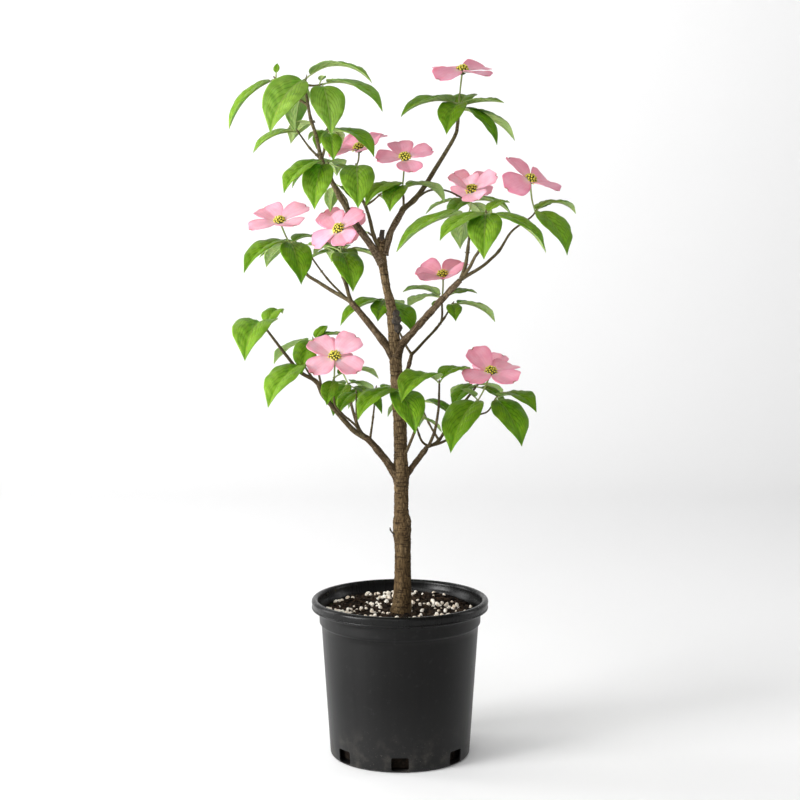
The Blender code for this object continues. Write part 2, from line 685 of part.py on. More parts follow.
def mass_shapes(name):
    """Every closed shape of one foliage mass, the stem first."""
    parent, limb, shoots = MASSES[name]
    stem = smooth_path(stem_points(parent, limb), 30)
    yield tube(stem, taper(stem, limb.start_radius, limb.end_radius), STEM_SIDES)
    for shoot in shoots:
        path = stem if shoot.at == 1 else twig_path(stem, shoot)
        if path is not stem:
            yield tube(path, taper(path, shoot.radius, TWIG_TIP_RADIUS), TWIG_SIDES)
        tip, back = path[-1], unit(path[-2] - path[-1])
        for i, kind in enumerate(shoot.leaves):
            yield leaf(tip + back * (ROOT_DEPTH + PAIR_STEP * (i // 2)), kind)
        if shoot.bloom:
            yield from bloom_shapes(shoot.bloom, tip + back * 2.5 * ROOT_DEPTH)


def build_mass(name):
    """A foliage mass, cut 0.3 mm clear of the limb that it grows from."""
    mass = fuse(name, list(mass_shapes(name)))
    parent = MASSES[name][0]
    cut_clear(mass, *(trunk_shape(GAP) if parent == "trunk" else bough_shape(BOUGHS[parent], GAP)))
    return mass


def main():
    for obj in list(bpy.data.objects):
        bpy.data.objects.remove(obj)
    bark = material("bark", (0.105, 0.078, 0.052), 0.85)
    foliage = material("foliage", (0.16, 0.30, 0.03), 0.55)
    plastic = material("black_plastic", (0.012, 0.012, 0.013), 0.45)
    mix = material("potting_mix", (0.02, 0.014, 0.009), 0.95)
    build_pot().data.materials.append(plastic)
    build_soil().data.materials.append(mix)
    build_trunk().data.materials.append(bark)
    for name, limb in BOUGHS.items():
        build_bough(name, limb).data.materials.append(bark)
    for name in MASSES:
        build_mass(name).data.materials.append(foliage)


main()
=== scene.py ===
"""The looks of a young flowering dogwood in a round nursery pot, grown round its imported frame.

The plan of trunk, limbs, leaves and blooms is in millimetres. Meshes are in metres, in the frame's axes:
+Z is up, the origin is under the middle of the pot, and the side seen from the front faces -Y.
A heading is an angle in degrees about +Z, measured from +X.
"""

import math
import random
from functools import partial
from typing import NamedTuple

import bmesh
import bpy
import numpy as np
from mathutils import Matrix, Vector, noise


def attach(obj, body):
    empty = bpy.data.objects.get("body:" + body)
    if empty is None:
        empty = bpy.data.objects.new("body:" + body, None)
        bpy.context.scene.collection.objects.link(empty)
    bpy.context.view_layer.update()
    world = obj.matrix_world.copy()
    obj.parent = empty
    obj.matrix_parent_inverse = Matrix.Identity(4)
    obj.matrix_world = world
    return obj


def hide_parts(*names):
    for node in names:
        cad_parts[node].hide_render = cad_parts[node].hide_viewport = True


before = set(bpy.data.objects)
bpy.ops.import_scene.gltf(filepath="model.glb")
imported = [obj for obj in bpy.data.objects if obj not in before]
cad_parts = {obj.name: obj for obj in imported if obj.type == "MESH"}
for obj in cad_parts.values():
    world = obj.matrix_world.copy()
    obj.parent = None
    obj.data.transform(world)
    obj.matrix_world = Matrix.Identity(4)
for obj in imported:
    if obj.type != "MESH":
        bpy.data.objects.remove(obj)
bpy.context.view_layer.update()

MM = 0.001
SEED = 11

# Pot, in the part's own sizes.
POT_HEIGHT = 242.0
RIM_RADIUS = 133.5
RIM_DEPTH = 15.0
MOUTH_RADIUS = 123.6
COLLAR_RADIUS = 122.3
COLLAR_TOP = 222.0
COLLAR_BOTTOM = 204.0
WAIST_RADIUS = 118.7
BASE_RADIUS = 106.0
BASE_ROUNDING = 7.0
WALL = 2.4
FLOOR = 3.2
DRAIN_HOLES = 7
DRAIN_WIDTH = 26.0
DRAIN_BOTTOM = 3.6
DRAIN_TOP = 24.0
DRAIN_CORNER = 3.0
SOIL_TOP = 220.0
GAP = 0.3

# The soil has shrunk from the wall by SHRUNK up to this height, and is banked at the back.
SHRUNK_TOP = 40.0
SHRUNK = 7.0
SOIL_BANK = 5.0

# Twigs, leaves and blooms, in the part's own sizes.
TWIG_RADIUS = 1.9
TWIG_TIP_RADIUS = 1.2
LEAF_WIDTH = 0.6
LEAF_THICKNESS = 0.7
LEAF_FOLD = 23.0
LEAF_ARCH = 0.26
LEAF_BEND = 55.0
PETIOLE = 9.0
PAIR_STEP = 4.0
ROOT_DEPTH = 1.6
BRACT_ROOT = 4.0
BRACT_STEP = 2.3
BRACT_LENGTH = 43.0
BRACT_WIDTH = 42.0
BRACT_THICKNESS = 0.8
BRACT_CUP = 14.0
BRACT_BEND = 24.0
BRACT_FOLD = 10.0
BRACT_CHANNELS = 4.5
DOME_RADIUS = 9.0
DOME_FLORETS = 30
STALK_RADIUS = 1.3

# The length of a bud at a twig's tip and of one at its side, in metres.
TIP_BUD = 0.0045
SIDE_BUD = 0.0026

# Side veins: where along the midrib they begin, and how they sweep forward to the leaf's edge.
VEIN_SPACING = 0.155
VEIN_START = 0.05
VEIN_SWEEP = 0.62
VEIN_REACH = 0.93
VEIN_LAST = 0.66

# The tints of leaves, from the pale young ones to the deep shaded ones. Bracts have as many.
TINTS = ("young", "fresh", "middle", "deep")


class Leaf(NamedTuple):
    """A leaf by the way it points: dip is how far its tip lies below its base, in degrees."""

    heading: float
    dip: float
    length: float
    bend: float = LEAF_BEND
    roll: float = 0.0


class Bloom(NamedTuple):
    """A bloom by its centre and the way that it faces, with how far each bract is raised, in degrees.

    lift is the angle above the level at which the bloom faces.
    """

    centre: tuple
    heading: float
    lift: float
    spin: float = 45.0
    cups: tuple = (BRACT_CUP,) * 4
    size: float = 1.0


class Shoot(NamedTuple):
    """A leafy tip. Its twig leaves the stem at a share of the stem's length, and runs by via."""

    tip: tuple
    leaves: tuple = ()
    bloom: Bloom = None
    at: float = 1.0
    via: tuple = ()
    radius: float = TWIG_RADIUS


class Limb(NamedTuple):
    """A tapering limb along a smooth curve through its points."""

    points: tuple
    start_radius: float
    end_radius: float


def pairs(spin, count, longest=86):
    """Leaves in opposite pairs round a tip, each pair turned a quarter from the last, by a seeded rule."""
    vary = random.Random(SEED + spin)
    return tuple(
        Leaf(spin + 180 * (i % 2) + 90 * (i // 2) + vary.uniform(-12, 12), vary.uniform(14, 36),
             longest * vary.uniform(0.85, 1.0) - 6 * (i // 2), vary.uniform(55, 80))
        for i in range(count)
    )


# The trunk's centre line and its radius at each point, from the soil up to the fork.
TRUNK = (
    (1, -10, 221.3, 16.5), (3, -10, 236, 14.6), (4, -10, 268, 12.9), (4, -10, 322, 12.4),
    (3, -10, 342, 13.6), (3, -10, 360, 13.8), (2, -9, 376, 11.2), (2, -8, 412, 11.0),
    (2, -8, 434, 12.4), (1, -7, 456, 10.4), (0, -6, 506, 10.0), (-4, -5, 555, 9.3),
    (-7, -3, 611, 9.4), (-9, -2, 640, 8.8), (-13, 0, 680, 7.4), (-20, 0, 712, 6.2),
    (-25, 2, 742, 6.8), (-29, 4, 766, 7.6), (-28, 5, 786, 5.0),
)

# The leader's cut end at the fork, a dead spur, and the lumps of an old wound: centre, radius, seed.
CUT_STUB = Limb(((-28, 3, 762), (-27, 3, 788), (-26, 3, 797)), 4.4, 3.7)
SPUR = Limb(((-4, -14, 338), (-13, -18, 347), (-15, -18, 353)), 1.8, 1.1)
KNOTS = (((-5, -8, 664), 7.0, 3), ((-3, -7, 652), 6.8, 4), ((-6, -6, 674), 5.0, 5))

BOUGHS = {
    "bough_low_left": Limb(((-1, -8, 420), (-9, -10, 436), (-22, -17, 456), (-44, -30, 485), (-55, -35, 494)),
                           6.0, 4.8),
    "bough_low_right": Limb(((1, -8, 418), (12, -7, 434), (26, 0, 452), (40, 5, 470)), 4.6, 3.8),
    "bough_mid_left": Limb(((-6, -3, 600), (-18, -2, 622), (-44, 14, 654), (-72, 30, 686)), 5.8, 4.6),
    "bough_mid_right": Limb(((-5, -6, 608), (3, -9, 628), (26, -17, 655), (58, -26, 692), (88, -35, 725)),
                            5.6, 4.4),
    "bough_mid_back": Limb(((-4, -5, 526), (0, 8, 545), (5, 22, 563), (11, 38, 582), (17, 55, 603)),
                           3.8, 3.0),
    "bough_low_back": Limb(((0, -8, 426), (-15, 15, 441), (-30, 45, 456), (-45, 75, 469)), 4.6, 3.6),
    "bough_back_right": Limb(((2, -8, 420), (15, 15, 435), (27, 45, 447), (40, 72, 459)), 4.2, 3.3),
    "bough_back_left": Limb(((-8, 4, 606), (-22, 32, 622), (-49, 75, 652), (-74, 118, 677)), 4.4, 3.4),
    "bough_top_left": Limb(((-27, 3, 748), (-37, 0, 765), (-49, -6, 783), (-65, -12, 806), (-74, -16, 822)),
                           5.4, 5.0),
    "bough_top_right": Limb(((-24, 4, 760), (-18, 8, 779), (-13, 12, 795), (4, 19, 825)), 5.0, 4.6),
}

# Each foliage mass: the limb that its stem goes on from, the stem, then the shoots along it.
MASSES = {
    "foliage_low_left": (
        "bough_low_left",
        Limb(((-69, -42, 504), (-88, -53, 527), (-112, -66, 559), (-122, -74, 580), (-144, -85, 595),
              (-162, -95, 618), (-192, -112, 661)), 4.4, 1.8),
        Shoot((-192, -112, 661), (Leaf(-105, 20, 112, 115), Leaf(66, -20, 55, 110))),
        Shoot((-65, -14, 557), (Leaf(-119, 23, 48, 60),), None, 0.02, ((-64, -30, 512),)),
        Shoot((-96, -78, 587), (Leaf(-102, 38, 48, 40), Leaf(30, 4, 72, 80)),
              Bloom((-94, -94, 619), -90, 54, 47, (11, 7, -4, 0)), 0.04,
              ((-67, -46, 513), (-86, -60, 532), (-96, -68, 549))),
        Shoot((-128, -34, 638), (Leaf(-102, 32, 75), Leaf(153, 30, 72), Leaf(42, -6, 52),
                                 Leaf(57, -31, 35, 40)), None, 0.44),
        Shoot((-140, -86, 607), (Leaf(-123, 31, 98, 60),), None, 0.55),
    ),
    "foliage_low_right": (
        "bough_low_right",
        Limb(((44, 0, 476), (52, -10, 499), (57, -18, 531), (58, -24, 560), (58, -26, 573)), 2.7, 1.5),
        Shoot((58, -26, 573), (Leaf(-128, 12, 100, 110), Leaf(48, -3, 72, 95))),
        Shoot((118, 50, 538), (Leaf(-117, 36, 112), Leaf(-129, -26, 40, 30)),
              Bloom((136, 6, 585), -93, 67, 47, (-12, 34, 2, 4), 1.06), 0.02,
              ((65, 20, 477), (91, 36, 491), (114, 48, 508)), 2.3),
        Shoot((146, 54, 539), (Leaf(-64, 37, 98), Leaf(-47, 8, 85, 80), Leaf(37, 22, 50)), None, 0.03,
              ((66, 24, 477), (94, 40, 493), (118, 52, 512), (134, 55, 519))),
        Shoot((20, 12, 518), (Leaf(80, 25, 50), Leaf(20, 30, 45)), None, 0.02, ((31, 2, 484),)),
    ),
    "foliage_front": (
        "trunk",
        Limb(((3, -8, 455), (11, -14, 471), (21, -28, 498), (35, -42, 538), (32, -44, 553)), 2.6, 1.6),
        Shoot((-4, -40, 562), (Leaf(-73, 31, 95, 60), Leaf(-132, 21, 92, 80)), None, 0.8),
    ),
    "foliage_low_back": (
        "bough_low_back",
        Limb(((-62, 98, 483), (-75, 118, 518), (-80, 120, 554)), 3.2, 1.8),
        Shoot((-80, 120, 554), pairs(60, 4, 76), Bloom((-99, 128, 594), 110, 40, size=0.8)),
        Shoot((-37, 118, 546), pairs(40, 3, 70), None, 0.1),
    ),
    "foliage_back_right": (
        "bough_back_right",
        Limb(((60, 94, 468), (81, 110, 500), (121, 128, 551)), 2.9, 1.8),
        Shoot((121, 128, 551), pairs(50, 4, 64), Bloom((140, 146, 576), 75, 50, size=0.75)),
        Shoot((29, 105, 528), pairs(150, 2, 66), None, 0.3),
    ),
    "foliage_mid_left": (
        "bough_mid_left",
        Limb(((-102, 44, 703), (-124, 54, 716), (-141, 60, 727), (-157, 66, 752), (-168, 68, 777)), 3.4, 1.8),
        Shoot((-168, 68, 777), (Leaf(-136, 26, 95, 60), Leaf(-73, 40, 88), Leaf(52, -4, 60, 50),
                                Leaf(136, 35, 60)),
              Bloom((-180, 45, 807), -113, 67, 54, (8, 12, 4, 11), 1.08)),
        Shoot((-88, 10, 765), (Leaf(142, 10, 52, 95), Leaf(-75, 35, 88)),
              Bloom((-89, -48, 800), -128, 50, 50, (4, 3, -7, 1), 0.94), 0.05,
              ((-82, 30, 716), (-88, 23, 736)), 3.0),
    ),
    "foliage_back_left": (
        "bough_back_left",
        Limb(((-83, 130, 710), (-86, 134, 762)), 3.1, 1.8),
        Shoot((-86, 134, 762), pairs(100, 4, 74), Bloom((-92, 158, 786), 110, 40)),
        Shoot((-150, 126, 768), pairs(170, 2, 74), None, 0.3),
    ),
    "foliage_mid_right": (
        "bough_mid_right",
        Limb(((101, -40, 743), (109, -50, 760), (115, -58, 771), (121, -66, 800), (124, -66, 826)), 2.8, 1.6),
        Shoot((124, -66, 826), (Leaf(-138, 22, 92, 50), Leaf(-94, 40, 92), Leaf(46, -18, 50, 60),
                                Leaf(-27, 28, 105, 65))),
        Shoot((100, -20, 824), (Leaf(-164, 27, 118, 50), Leaf(100, 44, 75, 50)),
              Bloom((105, -23, 856), -122, 56, 38, (12, -1, 52, 11), 0.9), 0.03,
              ((92, -35, 733), (97, -33, 752), (101, -26, 783), (103, -22, 798)), 3.2),
        Shoot((201, -14, 827), (Leaf(30, 5, 70, 90), Leaf(-56, 40, 92, 60), Leaf(59, -11, 45, 40)),
              Bloom((191, -19, 871), -40, 48, 4, (-7, -1, -20, 27), 1.08), 0.06,
              ((117, -36, 743), (132, -34, 755), (146, -30, 769), (164, -24, 796), (192, -16, 816)), 2.8),
    ),
    "foliage_mid_back": (
        "bough_mid_back",
        Limb(((24, 61, 611), (38, 72, 625), (55, 84, 642), (64, 94, 656), (64, 108, 688)), 2.5, 1.6),
        Shoot((64, 108, 688), (Leaf(-146, -10, 68, 60), Leaf(133, 15, 75, 60), Leaf(34, -7, 62, 60),
                               Leaf(-111, 17, 30, 40)),
              Bloom((66, 114, 721), -119, 51, 74, (-16, 9, 33, 29))),
        Shoot((81, 104, 679), (Leaf(29, 22, 78, 60), Leaf(-85, 25, 45, 50)), None, 0.7),
        Shoot((-23, 106, 684), (Leaf(-144, 22, 85, 60), Leaf(-100, 23, 60, 50), Leaf(-59, 26, 85, 60),
                                Leaf(80, 20, 80, 60)), None, 0.02,
              ((9, 66, 618), (0, 80, 635), (-21, 100, 664))),
    ),
    "foliage_centre": (
        "trunk",
        Limb(((-31, 2, 770), (-39, -4, 789), (-45, -12, 815), (-51, -20, 834), (-57, -26, 846),
              (-62, -26, 870), (-64, -24, 895)), 3.2, 1.8),
        Shoot((-64, -24, 895), (Leaf(-87, 39, 92),),
              Bloom((-61, 31, 916), -145, 60, 88, (-8, 12, 16, 10), 1.06)),
        Shoot((-47, 12, 792), (Leaf(150, 0, 34, 40),), None, 0.1),
        Shoot((-29, -24, 850), (Leaf(70, 20, 40, 40),), None, 0.42),
    ),
    "foliage_top_left": (
        "bough_top_left",
        Limb(((-88, -22, 846), (-104, -28, 878), (-114, -32, 900), (-122, -36, 936), (-129, -40, 958),
              (-133, -42, 979), (-137, -46, 1008), (-135, -48, 1018)), 4.3, 1.6),
        Shoot((-135, -48, 1018), (Leaf(-127, 44, 108, 60, -25), Leaf(-20, 4, 105, 95),
                                  Leaf(122, 68, 75, 50))),
        Shoot((-111, -40, 1009), (Leaf(-27, 22, 105, 75), Leaf(-77, 48, 92), Leaf(-73, -23, 22, 40)),
              None, 0.9),
        Shoot((-181, -30, 1018), (Leaf(-162, 46, 96), Leaf(82, -62, 17, 40)), None, 0.8),
        Shoot((-149, -36, 942), (Leaf(-152, 23, 72, 60),), None, 0.42),
        Shoot((-125, -30, 955), (Leaf(123, 26, 68, 50),), None, 0.62),
        Shoot((-103, -38, 942), (Leaf(-80, 41, 55, 50), Leaf(-34, 24, 85, 75)), None, 0.45),
        Shoot((-113, -38, 898), (Leaf(-129, 27, 90, 60), Leaf(-99, 47, 85)), None, 0.36),
        Shoot((-96, 14, 864), (Leaf(-38, 36, 45, 50), Leaf(106, 53, 45, 50)), None, 0.02,
              ((-79, 0, 840),)),
        Shoot((-108, 56, 894), pairs(75, 4, 78), None, 0.2),
        Shoot((-108, 28, 944), pairs(60, 3, 46), None, 0.5),
    ),
    "foliage_top_right": (
        "bough_top_right",
        Limb(((21, 26, 840), (36, 34, 859), (50, 42, 881), (80, 56, 930), (86, 60, 950), (88, 60, 983)),
             4.2, 2.4),
        Shoot((88, 60, 983), (Leaf(-150, 11, 98, 60), Leaf(-106, 32, 80, 60), Leaf(-32, -4, 70, 30),
                              Leaf(-27, 42, 80, 60), Leaf(14, 28, 95), Leaf(72, -11, 70, 70)),
              Bloom((93, 57, 1031), -40, 73, 356, (8, -14, -22, 8), 1.08)),
        Shoot((3, 0, 860), (Leaf(-129, 16, 85, 80), Leaf(-108, 30, 65, 90), Leaf(32, 16, 78, 95)),
              Bloom((7, -19, 903), -89, 61, 12, (10, 8, 2, 2), 0.9), 0.02, ((5, 12, 846),)),
        Shoot((108, 106, 832), pairs(65, 4, 76), Bloom((109, 126, 854), 85, 50, size=0.8), 0.3,
              ((45, 60, 853), (73, 84, 851))),
    ),
}

# The pieces that the leaves are joined into, and the masses whose leaves each one holds.
LEAF_GROUPS = {
    "leaves_lower": ("foliage_low_left", "foliage_low_right", "foliage_front", "foliage_low_back",
                     "foliage_back_right"),
    "leaves_middle": ("foliage_mid_left", "foliage_back_left", "foliage_mid_right", "foliage_mid_back",
                      "foliage_centre"),
    "leaves_top_left": ("foliage_top_left",),
    "leaves_top_right": ("foliage_top_right",),
}


def direction(heading, lift=0):
    """The unit vector with this heading, at this angle above the level."""
    turn, rise = math.radians(heading), math.radians(lift)
    return np.array((math.cos(rise) * math.cos(turn), math.cos(rise) * math.sin(turn), math.sin(rise)))


def unit(arrow):
    return arrow / np.linalg.norm(arrow)


def smooth_path(points, step):
    """Points about one step apart on the Catmull-Rom curve through the given points."""
    given = np.array(points, float)
    ends = np.vstack((2 * given[0] - given[1], given, 2 * given[-1] - given[-2]))
    path = [given[0]]
    for before, start, end, after in zip(ends, ends[1:], ends[2:], ends[3:]):
        count = max(1, round(np.linalg.norm(end - start) / step))
        for t in np.arange(1, count + 1) / count:
            path.append(0.5 * (2 * start + (end - before) * t
                               + (2 * before - 5 * start + 4 * end - after) * t ** 2
                               + (3 * start - before - 3 * end + after) * t ** 3))
    return np.array(path)


def lengths_along(path):
    """How far along the path each of its points lies."""
    return np.concatenate(((0.0,), np.cumsum(np.linalg.norm(np.diff(path, axis=0), axis=1))))


def smoothstep(low, high, value):
    share = np.clip((value - low) / (high - low), 0, 1)
    return share * share * (3 - 2 * share)


# Node trees, written as formulas.

class Bench:
    """The node tree, and the shader, that are being worked on."""

    tree = None
    shader = None


class Formula:
    """A node's output that sums and products can be written with. Each makes one more node."""

    def __init__(self, socket):
        self.socket = socket
        self.is_vector = socket.type in ("VECTOR", "RGBA")


def work_out(operation, first, second):
    """One step of a formula, on numbers or on vectors."""
    vectors = [getattr(value, "is_vector", False) for value in (first, second)]
    if not any(vectors):
        return number(operation, first, second)
    if all(vectors) or isinstance(first, tuple) or isinstance(second, tuple):
        return vector(operation, first, second)
    return vector("SCALE", *((first, second) if vectors[0] else (second, first)))


for sign, step in (("add", "ADD"), ("sub", "SUBTRACT"), ("mul", "MULTIPLY"), ("truediv", "DIVIDE")):
    setattr(Formula, f"__{sign}__", lambda self, other, step=step: work_out(step, self, other))
    setattr(Formula, f"__r{sign}__", lambda self, other, step=step: work_out(step, other, self))


def make(kind, inputs=None, output=0, **settings):
    """One output of a new node, with its inputs, by name or by place, linked or filled."""
    made = Bench.tree.nodes.new(kind)
    for name, value in settings.items():
        setattr(made, name, value)
    for key, value in (inputs or {}).items():
        socket = made.inputs[key]
        if isinstance(value, Formula):
            Bench.tree.links.new(value.socket, socket)
        else:
            socket.default_value = (*value, 1.0) if socket.type == "RGBA" else value
    return Formula(made.outputs[output])


def parts(formula):
    """All the outputs of the formula's node."""
    return [Formula(socket) for socket in formula.socket.node.outputs if socket.name]


def number(operation, *values):
    return make("ShaderNodeMath", dict(enumerate(values)), operation=operation)


sine, cosine, absolute = (partial(number, operation) for operation in ("SINE", "COSINE", "ABSOLUTE"))


def vector(operation, *values):
    places = (0, 3) if operation == "SCALE" else range(len(values))
    return make("ShaderNodeVectorMath", dict(zip(places, values)), operation=operation)


def combine(x, y, z):
    return make("ShaderNodeCombineXYZ", {0: x, 1: y, 2: z})


def separate(arrow):
    return parts(make("ShaderNodeSeparateXYZ", {0: arrow}))


def ramp_between(value, low, high):
    """A soft step from 0 to 1 as the value goes from low to high."""
    return make("ShaderNodeMapRange", {0: value, 1: low, 2: high}, interpolation_type="SMOOTHSTEP")


def cloud(place, scale, detail=2.0, roughness=0.5):
    """Soft noise from 0 to 1 in a vector's space."""
    return make("ShaderNodeTexNoise",
                {"Vector": place, "Scale": scale, "Detail": detail, "Roughness": roughness})


def cracks(place, scale):
    """The distance to the nearest border between cells."""
    return make("ShaderNodeTexVoronoi", {"Vector": place, "Scale": scale}, "Distance",
                feature="DISTANCE_TO_EDGE")


def blend_colours(share, first, second):
    return make("ShaderNodeMix", {0: share, 6: first, 7: second}, 2, data_type="RGBA")


def new_tree(name, family, **inputs):
    """Puts an empty group on the bench. Its inputs, titled under their kinds, come back as formulas."""
    Bench.tree = bpy.data.node_groups.new(name, family + "NodeTree")
    for kind, titles in inputs.items():
        for title in titles.split(", "):
            Bench.tree.interface.new_socket(name=title, in_out="INPUT", socket_type="NodeSocket" + kind)
    return parts(Formula(Bench.tree.nodes.new("NodeGroupInput").outputs[0]))


def finish_tree(**results):
    """Gives the group on the bench its outputs."""
    for title, value in results.items():
        kind = {"RGBA": "Color", "VALUE": "Float", "GEOMETRY": "Geometry"}[value.socket.type]
        Bench.tree.interface.new_socket(name=title, in_out="OUTPUT", socket_type="NodeSocket" + kind)
    end = Bench.tree.nodes.new("NodeGroupOutput")
    for title, value in results.items():
        Bench.tree.links.new(value.socket, end.inputs[title])
    return Bench.tree


def named(name, kind="FLOAT"):
    """A value that the mesh carries under this name."""
    return make("GeometryNodeInputNamedAttribute", {"Name": name}, "Attribute", data_type=kind)


named_vector = partial(named, kind="FLOAT_VECTOR")


def store(geometry, name, value, kind="FLOAT"):
    return make("GeometryNodeStoreNamedAttribute", {"Geometry": geometry, "Name": name, "Value": value},
                data_type=kind, domain="POINT")


def smooth(geometry):
    return make("GeometryNodeSetShadeSmooth", {0: geometry})


def set_material(geometry, material, carried_as=None, wanted=0):
    """Gives the faces a material: all, or those that carry the wanted whole number under a name."""
    inputs = {"Geometry": geometry, "Material": material}
    if carried_as:
        inputs["Selection"] = make("FunctionNodeCompare", {2: named(carried_as, "INT"), 3: wanted},
                                   data_type="INT", operation="EQUAL")
    return make("GeometryNodeSetMaterial", inputs)


def stand_on(points, shape, **turns):
    """Real copies of an object on points."""
    copy = make("GeometryNodeObjectInfo", {"Object": shape}, "Geometry")
    placed = make("GeometryNodeInstanceOnPoints", {"Points": points, "Instance": copy, **turns})
    return make("GeometryNodeRealizeInstances", {"Geometry": placed})


def turned_by(first, second):
    return make("FunctionNodeRotateRotation", {0: first, 1: second}, rotation_space="LOCAL")


def blade_tree():
    """Bends a flat blade along the arc of each point, for a leaf or a bract at every point.

    The blade carries flat: the share of its length (below 0 on its stalk), the share of its half width and
    a height. It also carries solid: a sideways and an upward offset that don't grow with the blade.
    """
    points, blade, ripple, ripple_scale, arch, *tints, underside, mark = new_tree(
        "Blades on Points", "Geometry", Geometry="Points", Object="Blade", Float="Ripple, Ripple Scale, Arch",
        Material="Young, Fresh, Middle, Deep, Underside, Mark")
    t, across, raised = separate(named_vector("flat"))
    sideways, upward, _ = separate(named_vector("solid"))
    base, out, up = map(named_vector, ("base", "out", "up"))
    rise, bend, roll, twist, fold = map(named, ("rise", "bend", "roll", "twist", "fold"))
    neck, length, half, seed = map(named, ("neck", "length", "half_width", "seed"))
    blade_share = number("MAXIMUM", t, 0.0)
    place = (neck * (1.0 + number("MINIMUM", t, 0.0)) + blade_share * length) / (neck + length)
    turned = bend * place
    angle, mean, half_turn = rise - turned, rise - turned * 0.5, turned * 0.5 + 0.00001
    chord = (neck + length) * place * sine(half_turn) / half_turn
    point = base + (out * cosine(mean) + up * sine(mean)) * chord
    ahead, over = out * cosine(angle) + up * sine(angle), up * cosine(angle) - out * sine(angle)
    side = vector("CROSS_PRODUCT", ahead, over)
    rolled = roll + twist * blade_share * blade_share
    over, side = (over * cosine(rolled) + side * sine(rolled), side * cosine(rolled) - over * sine(rolled))
    width, size = across * half, length * (1000.0 / 90.0)
    spread = absolute(width)
    wave = cloud(combine(t * ripple_scale, across * 1.3, seed * 7.3), 1.0, 1.0) - 0.5
    wave = wave * ripple * (across * across + 0.15)
    lift = (spread * sine(fold) - spread * absolute(across) * arch + raised * size + upward
            + wave * size * ramp_between(t, 0.0, 0.2))
    final = point + side * (width * cosine(fold) + sideways) + over * lift
    shown = smooth(make("GeometryNodeSetPosition", {"Geometry": stand_on(points, blade), "Position": final}))
    for tint, material in enumerate(tints):
        shown = set_material(shown, material, "tint", tint)
    shown = set_material(shown, underside, "zone", 1)
    return finish_tree(Geometry=set_material(shown, mark, "zone", 2))


def limb_tree():
    """Skins each path with bark: as thick as its points say, with plates, cracks and lumps pushed in."""
    paths, sides, relief, plate, material = new_tree(
        "Bark on Paths", "Geometry", Geometry="Paths", Int="Sides", Float="Relief, Plate",
        Material="Material")
    ring = make("GeometryNodeCurvePrimitiveCircle", {"Resolution": sides, "Radius": 1.0})
    profile = store(ring, "turn", make("GeometryNodeSplineParameter", output="Factor"))
    skin = make("GeometryNodeCurveToMesh",
                {"Curve": make("GeometryNodeMeshToCurve", {"Mesh": paths}), "Profile Curve": profile,
                 "Scale": named("thickness"), "Fill Caps": True})
    radius, turn = named("thickness"), named("turn") * (2 * math.pi)
    at = combine(cosine(turn) * radius, sine(turn) * radius, named("along")) * 1000.0
    skin = store(skin, "bark_place", at + combine(named("seed") * 91.0, 0.0, 0.0), "FLOAT_VECTOR")
    place = named_vector("bark_place")
    cell = place * (1.0, 1.0, 0.26) * (1.0 / plate)
    wander = cloud(cell, 1.3, 2.0) * 0.9
    plates = ramp_between(cracks(cell + combine(wander, wander * -1.0, wander), 1.0), 0.0, 0.22)
    lumps = cloud(place, 0.09, 2.0) - 0.5
    grain = cloud(place * (1.0, 1.0, 0.35), 0.8, 3.0, 0.6) - 0.5
    rings = cloud(place * (0.06, 0.06, 0.4), 1.0, 3.0, 0.6) - 0.5
    height = (plates * 0.4 + lumps * 2.0 + grain * 0.9 + rings * 1.6 - 0.45) * relief * named("rough")
    pushed = make("GeometryNodeSetPosition", {"Geometry": store(skin, "plates", plates),
                                              "Offset": make("GeometryNodeInputNormal") * height})
    return finish_tree(Geometry=set_material(smooth(pushed), material))


def copies_tree():
    """Stands a copy of a small shape on each point, turned to its heading and scaled."""
    points, shape, body, tip = new_tree("Copies on Points", "Geometry", Geometry="Points", Object="Shape",
                                        Material="Body Material, Tip Material")
    aligned = make("FunctionNodeAlignRotationToVector", {"Vector": named_vector("towards")}, axis="Z")
    spin = make("FunctionNodeAxisAngleToRotation", {"Axis": (0, 0, 1), "Angle": named("spin")})
    real = stand_on(points, shape, Rotation=turned_by(aligned, spin), Scale=named_vector("size"))
    return finish_tree(Geometry=set_material(set_material(smooth(real), body), tip, "zone", 1))


def scatter_tree():
    """Strews copies of a shape over a surface, each lying its own way, gathered in clumps if asked."""
    surface, shape, seed, density, smallest, largest, tilt, lift, clumps, material = new_tree(
        "Strewn Grains", "Geometry", Geometry="Surface", Object="Shape", Int="Seed",
        Float="Density, Smallest, Largest, Tilt, Lift, Clumps", Material="Material")
    gathered = ramp_between(cloud(make("GeometryNodeInputPosition"), 38.0, 1.0), 0.46, 0.6) * 2.4 - 1.0
    density = density * (gathered * clumps + 1.0)
    points, _, rotation = parts(make("GeometryNodeDistributePointsOnFaces",
                                     {"Mesh": surface, "Density": density, "Seed": seed},
                                     distribute_method="RANDOM"))
    size = make("FunctionNodeRandomValue", {2: smallest, 3: largest, "Seed": seed}, 1, data_type="FLOAT")
    lean = make("FunctionNodeRandomValue", {0: (-1.0, -1.0, -math.pi), 1: (1.0, 1.0, math.pi), "Seed": seed},
                data_type="FLOAT_VECTOR")
    turn = make("FunctionNodeEulerToRotation", {0: lean * combine(tilt, tilt, 1.0)})
    raised = make("GeometryNodeSetPosition", {"Geometry": points, "Offset": combine(0.0, 0.0, lift * size)})
    real = stand_on(raised, shape, Rotation=turned_by(rotation, turn), Scale=size)
    return finish_tree(Geometry=set_material(real, material))


# Small shapes that are repeated.

def add_object(name, data):
    obj = bpy.data.objects.new(name, data)
    bpy.context.scene.collection.objects.link(obj)
    return obj


def mesh_object(name, points, faces=(), edges=()):
    mesh = bpy.data.meshes.new(name)
    mesh.from_pydata([tuple(map(float, point)) for point in points], edges, faces)
    return add_object(name, mesh)


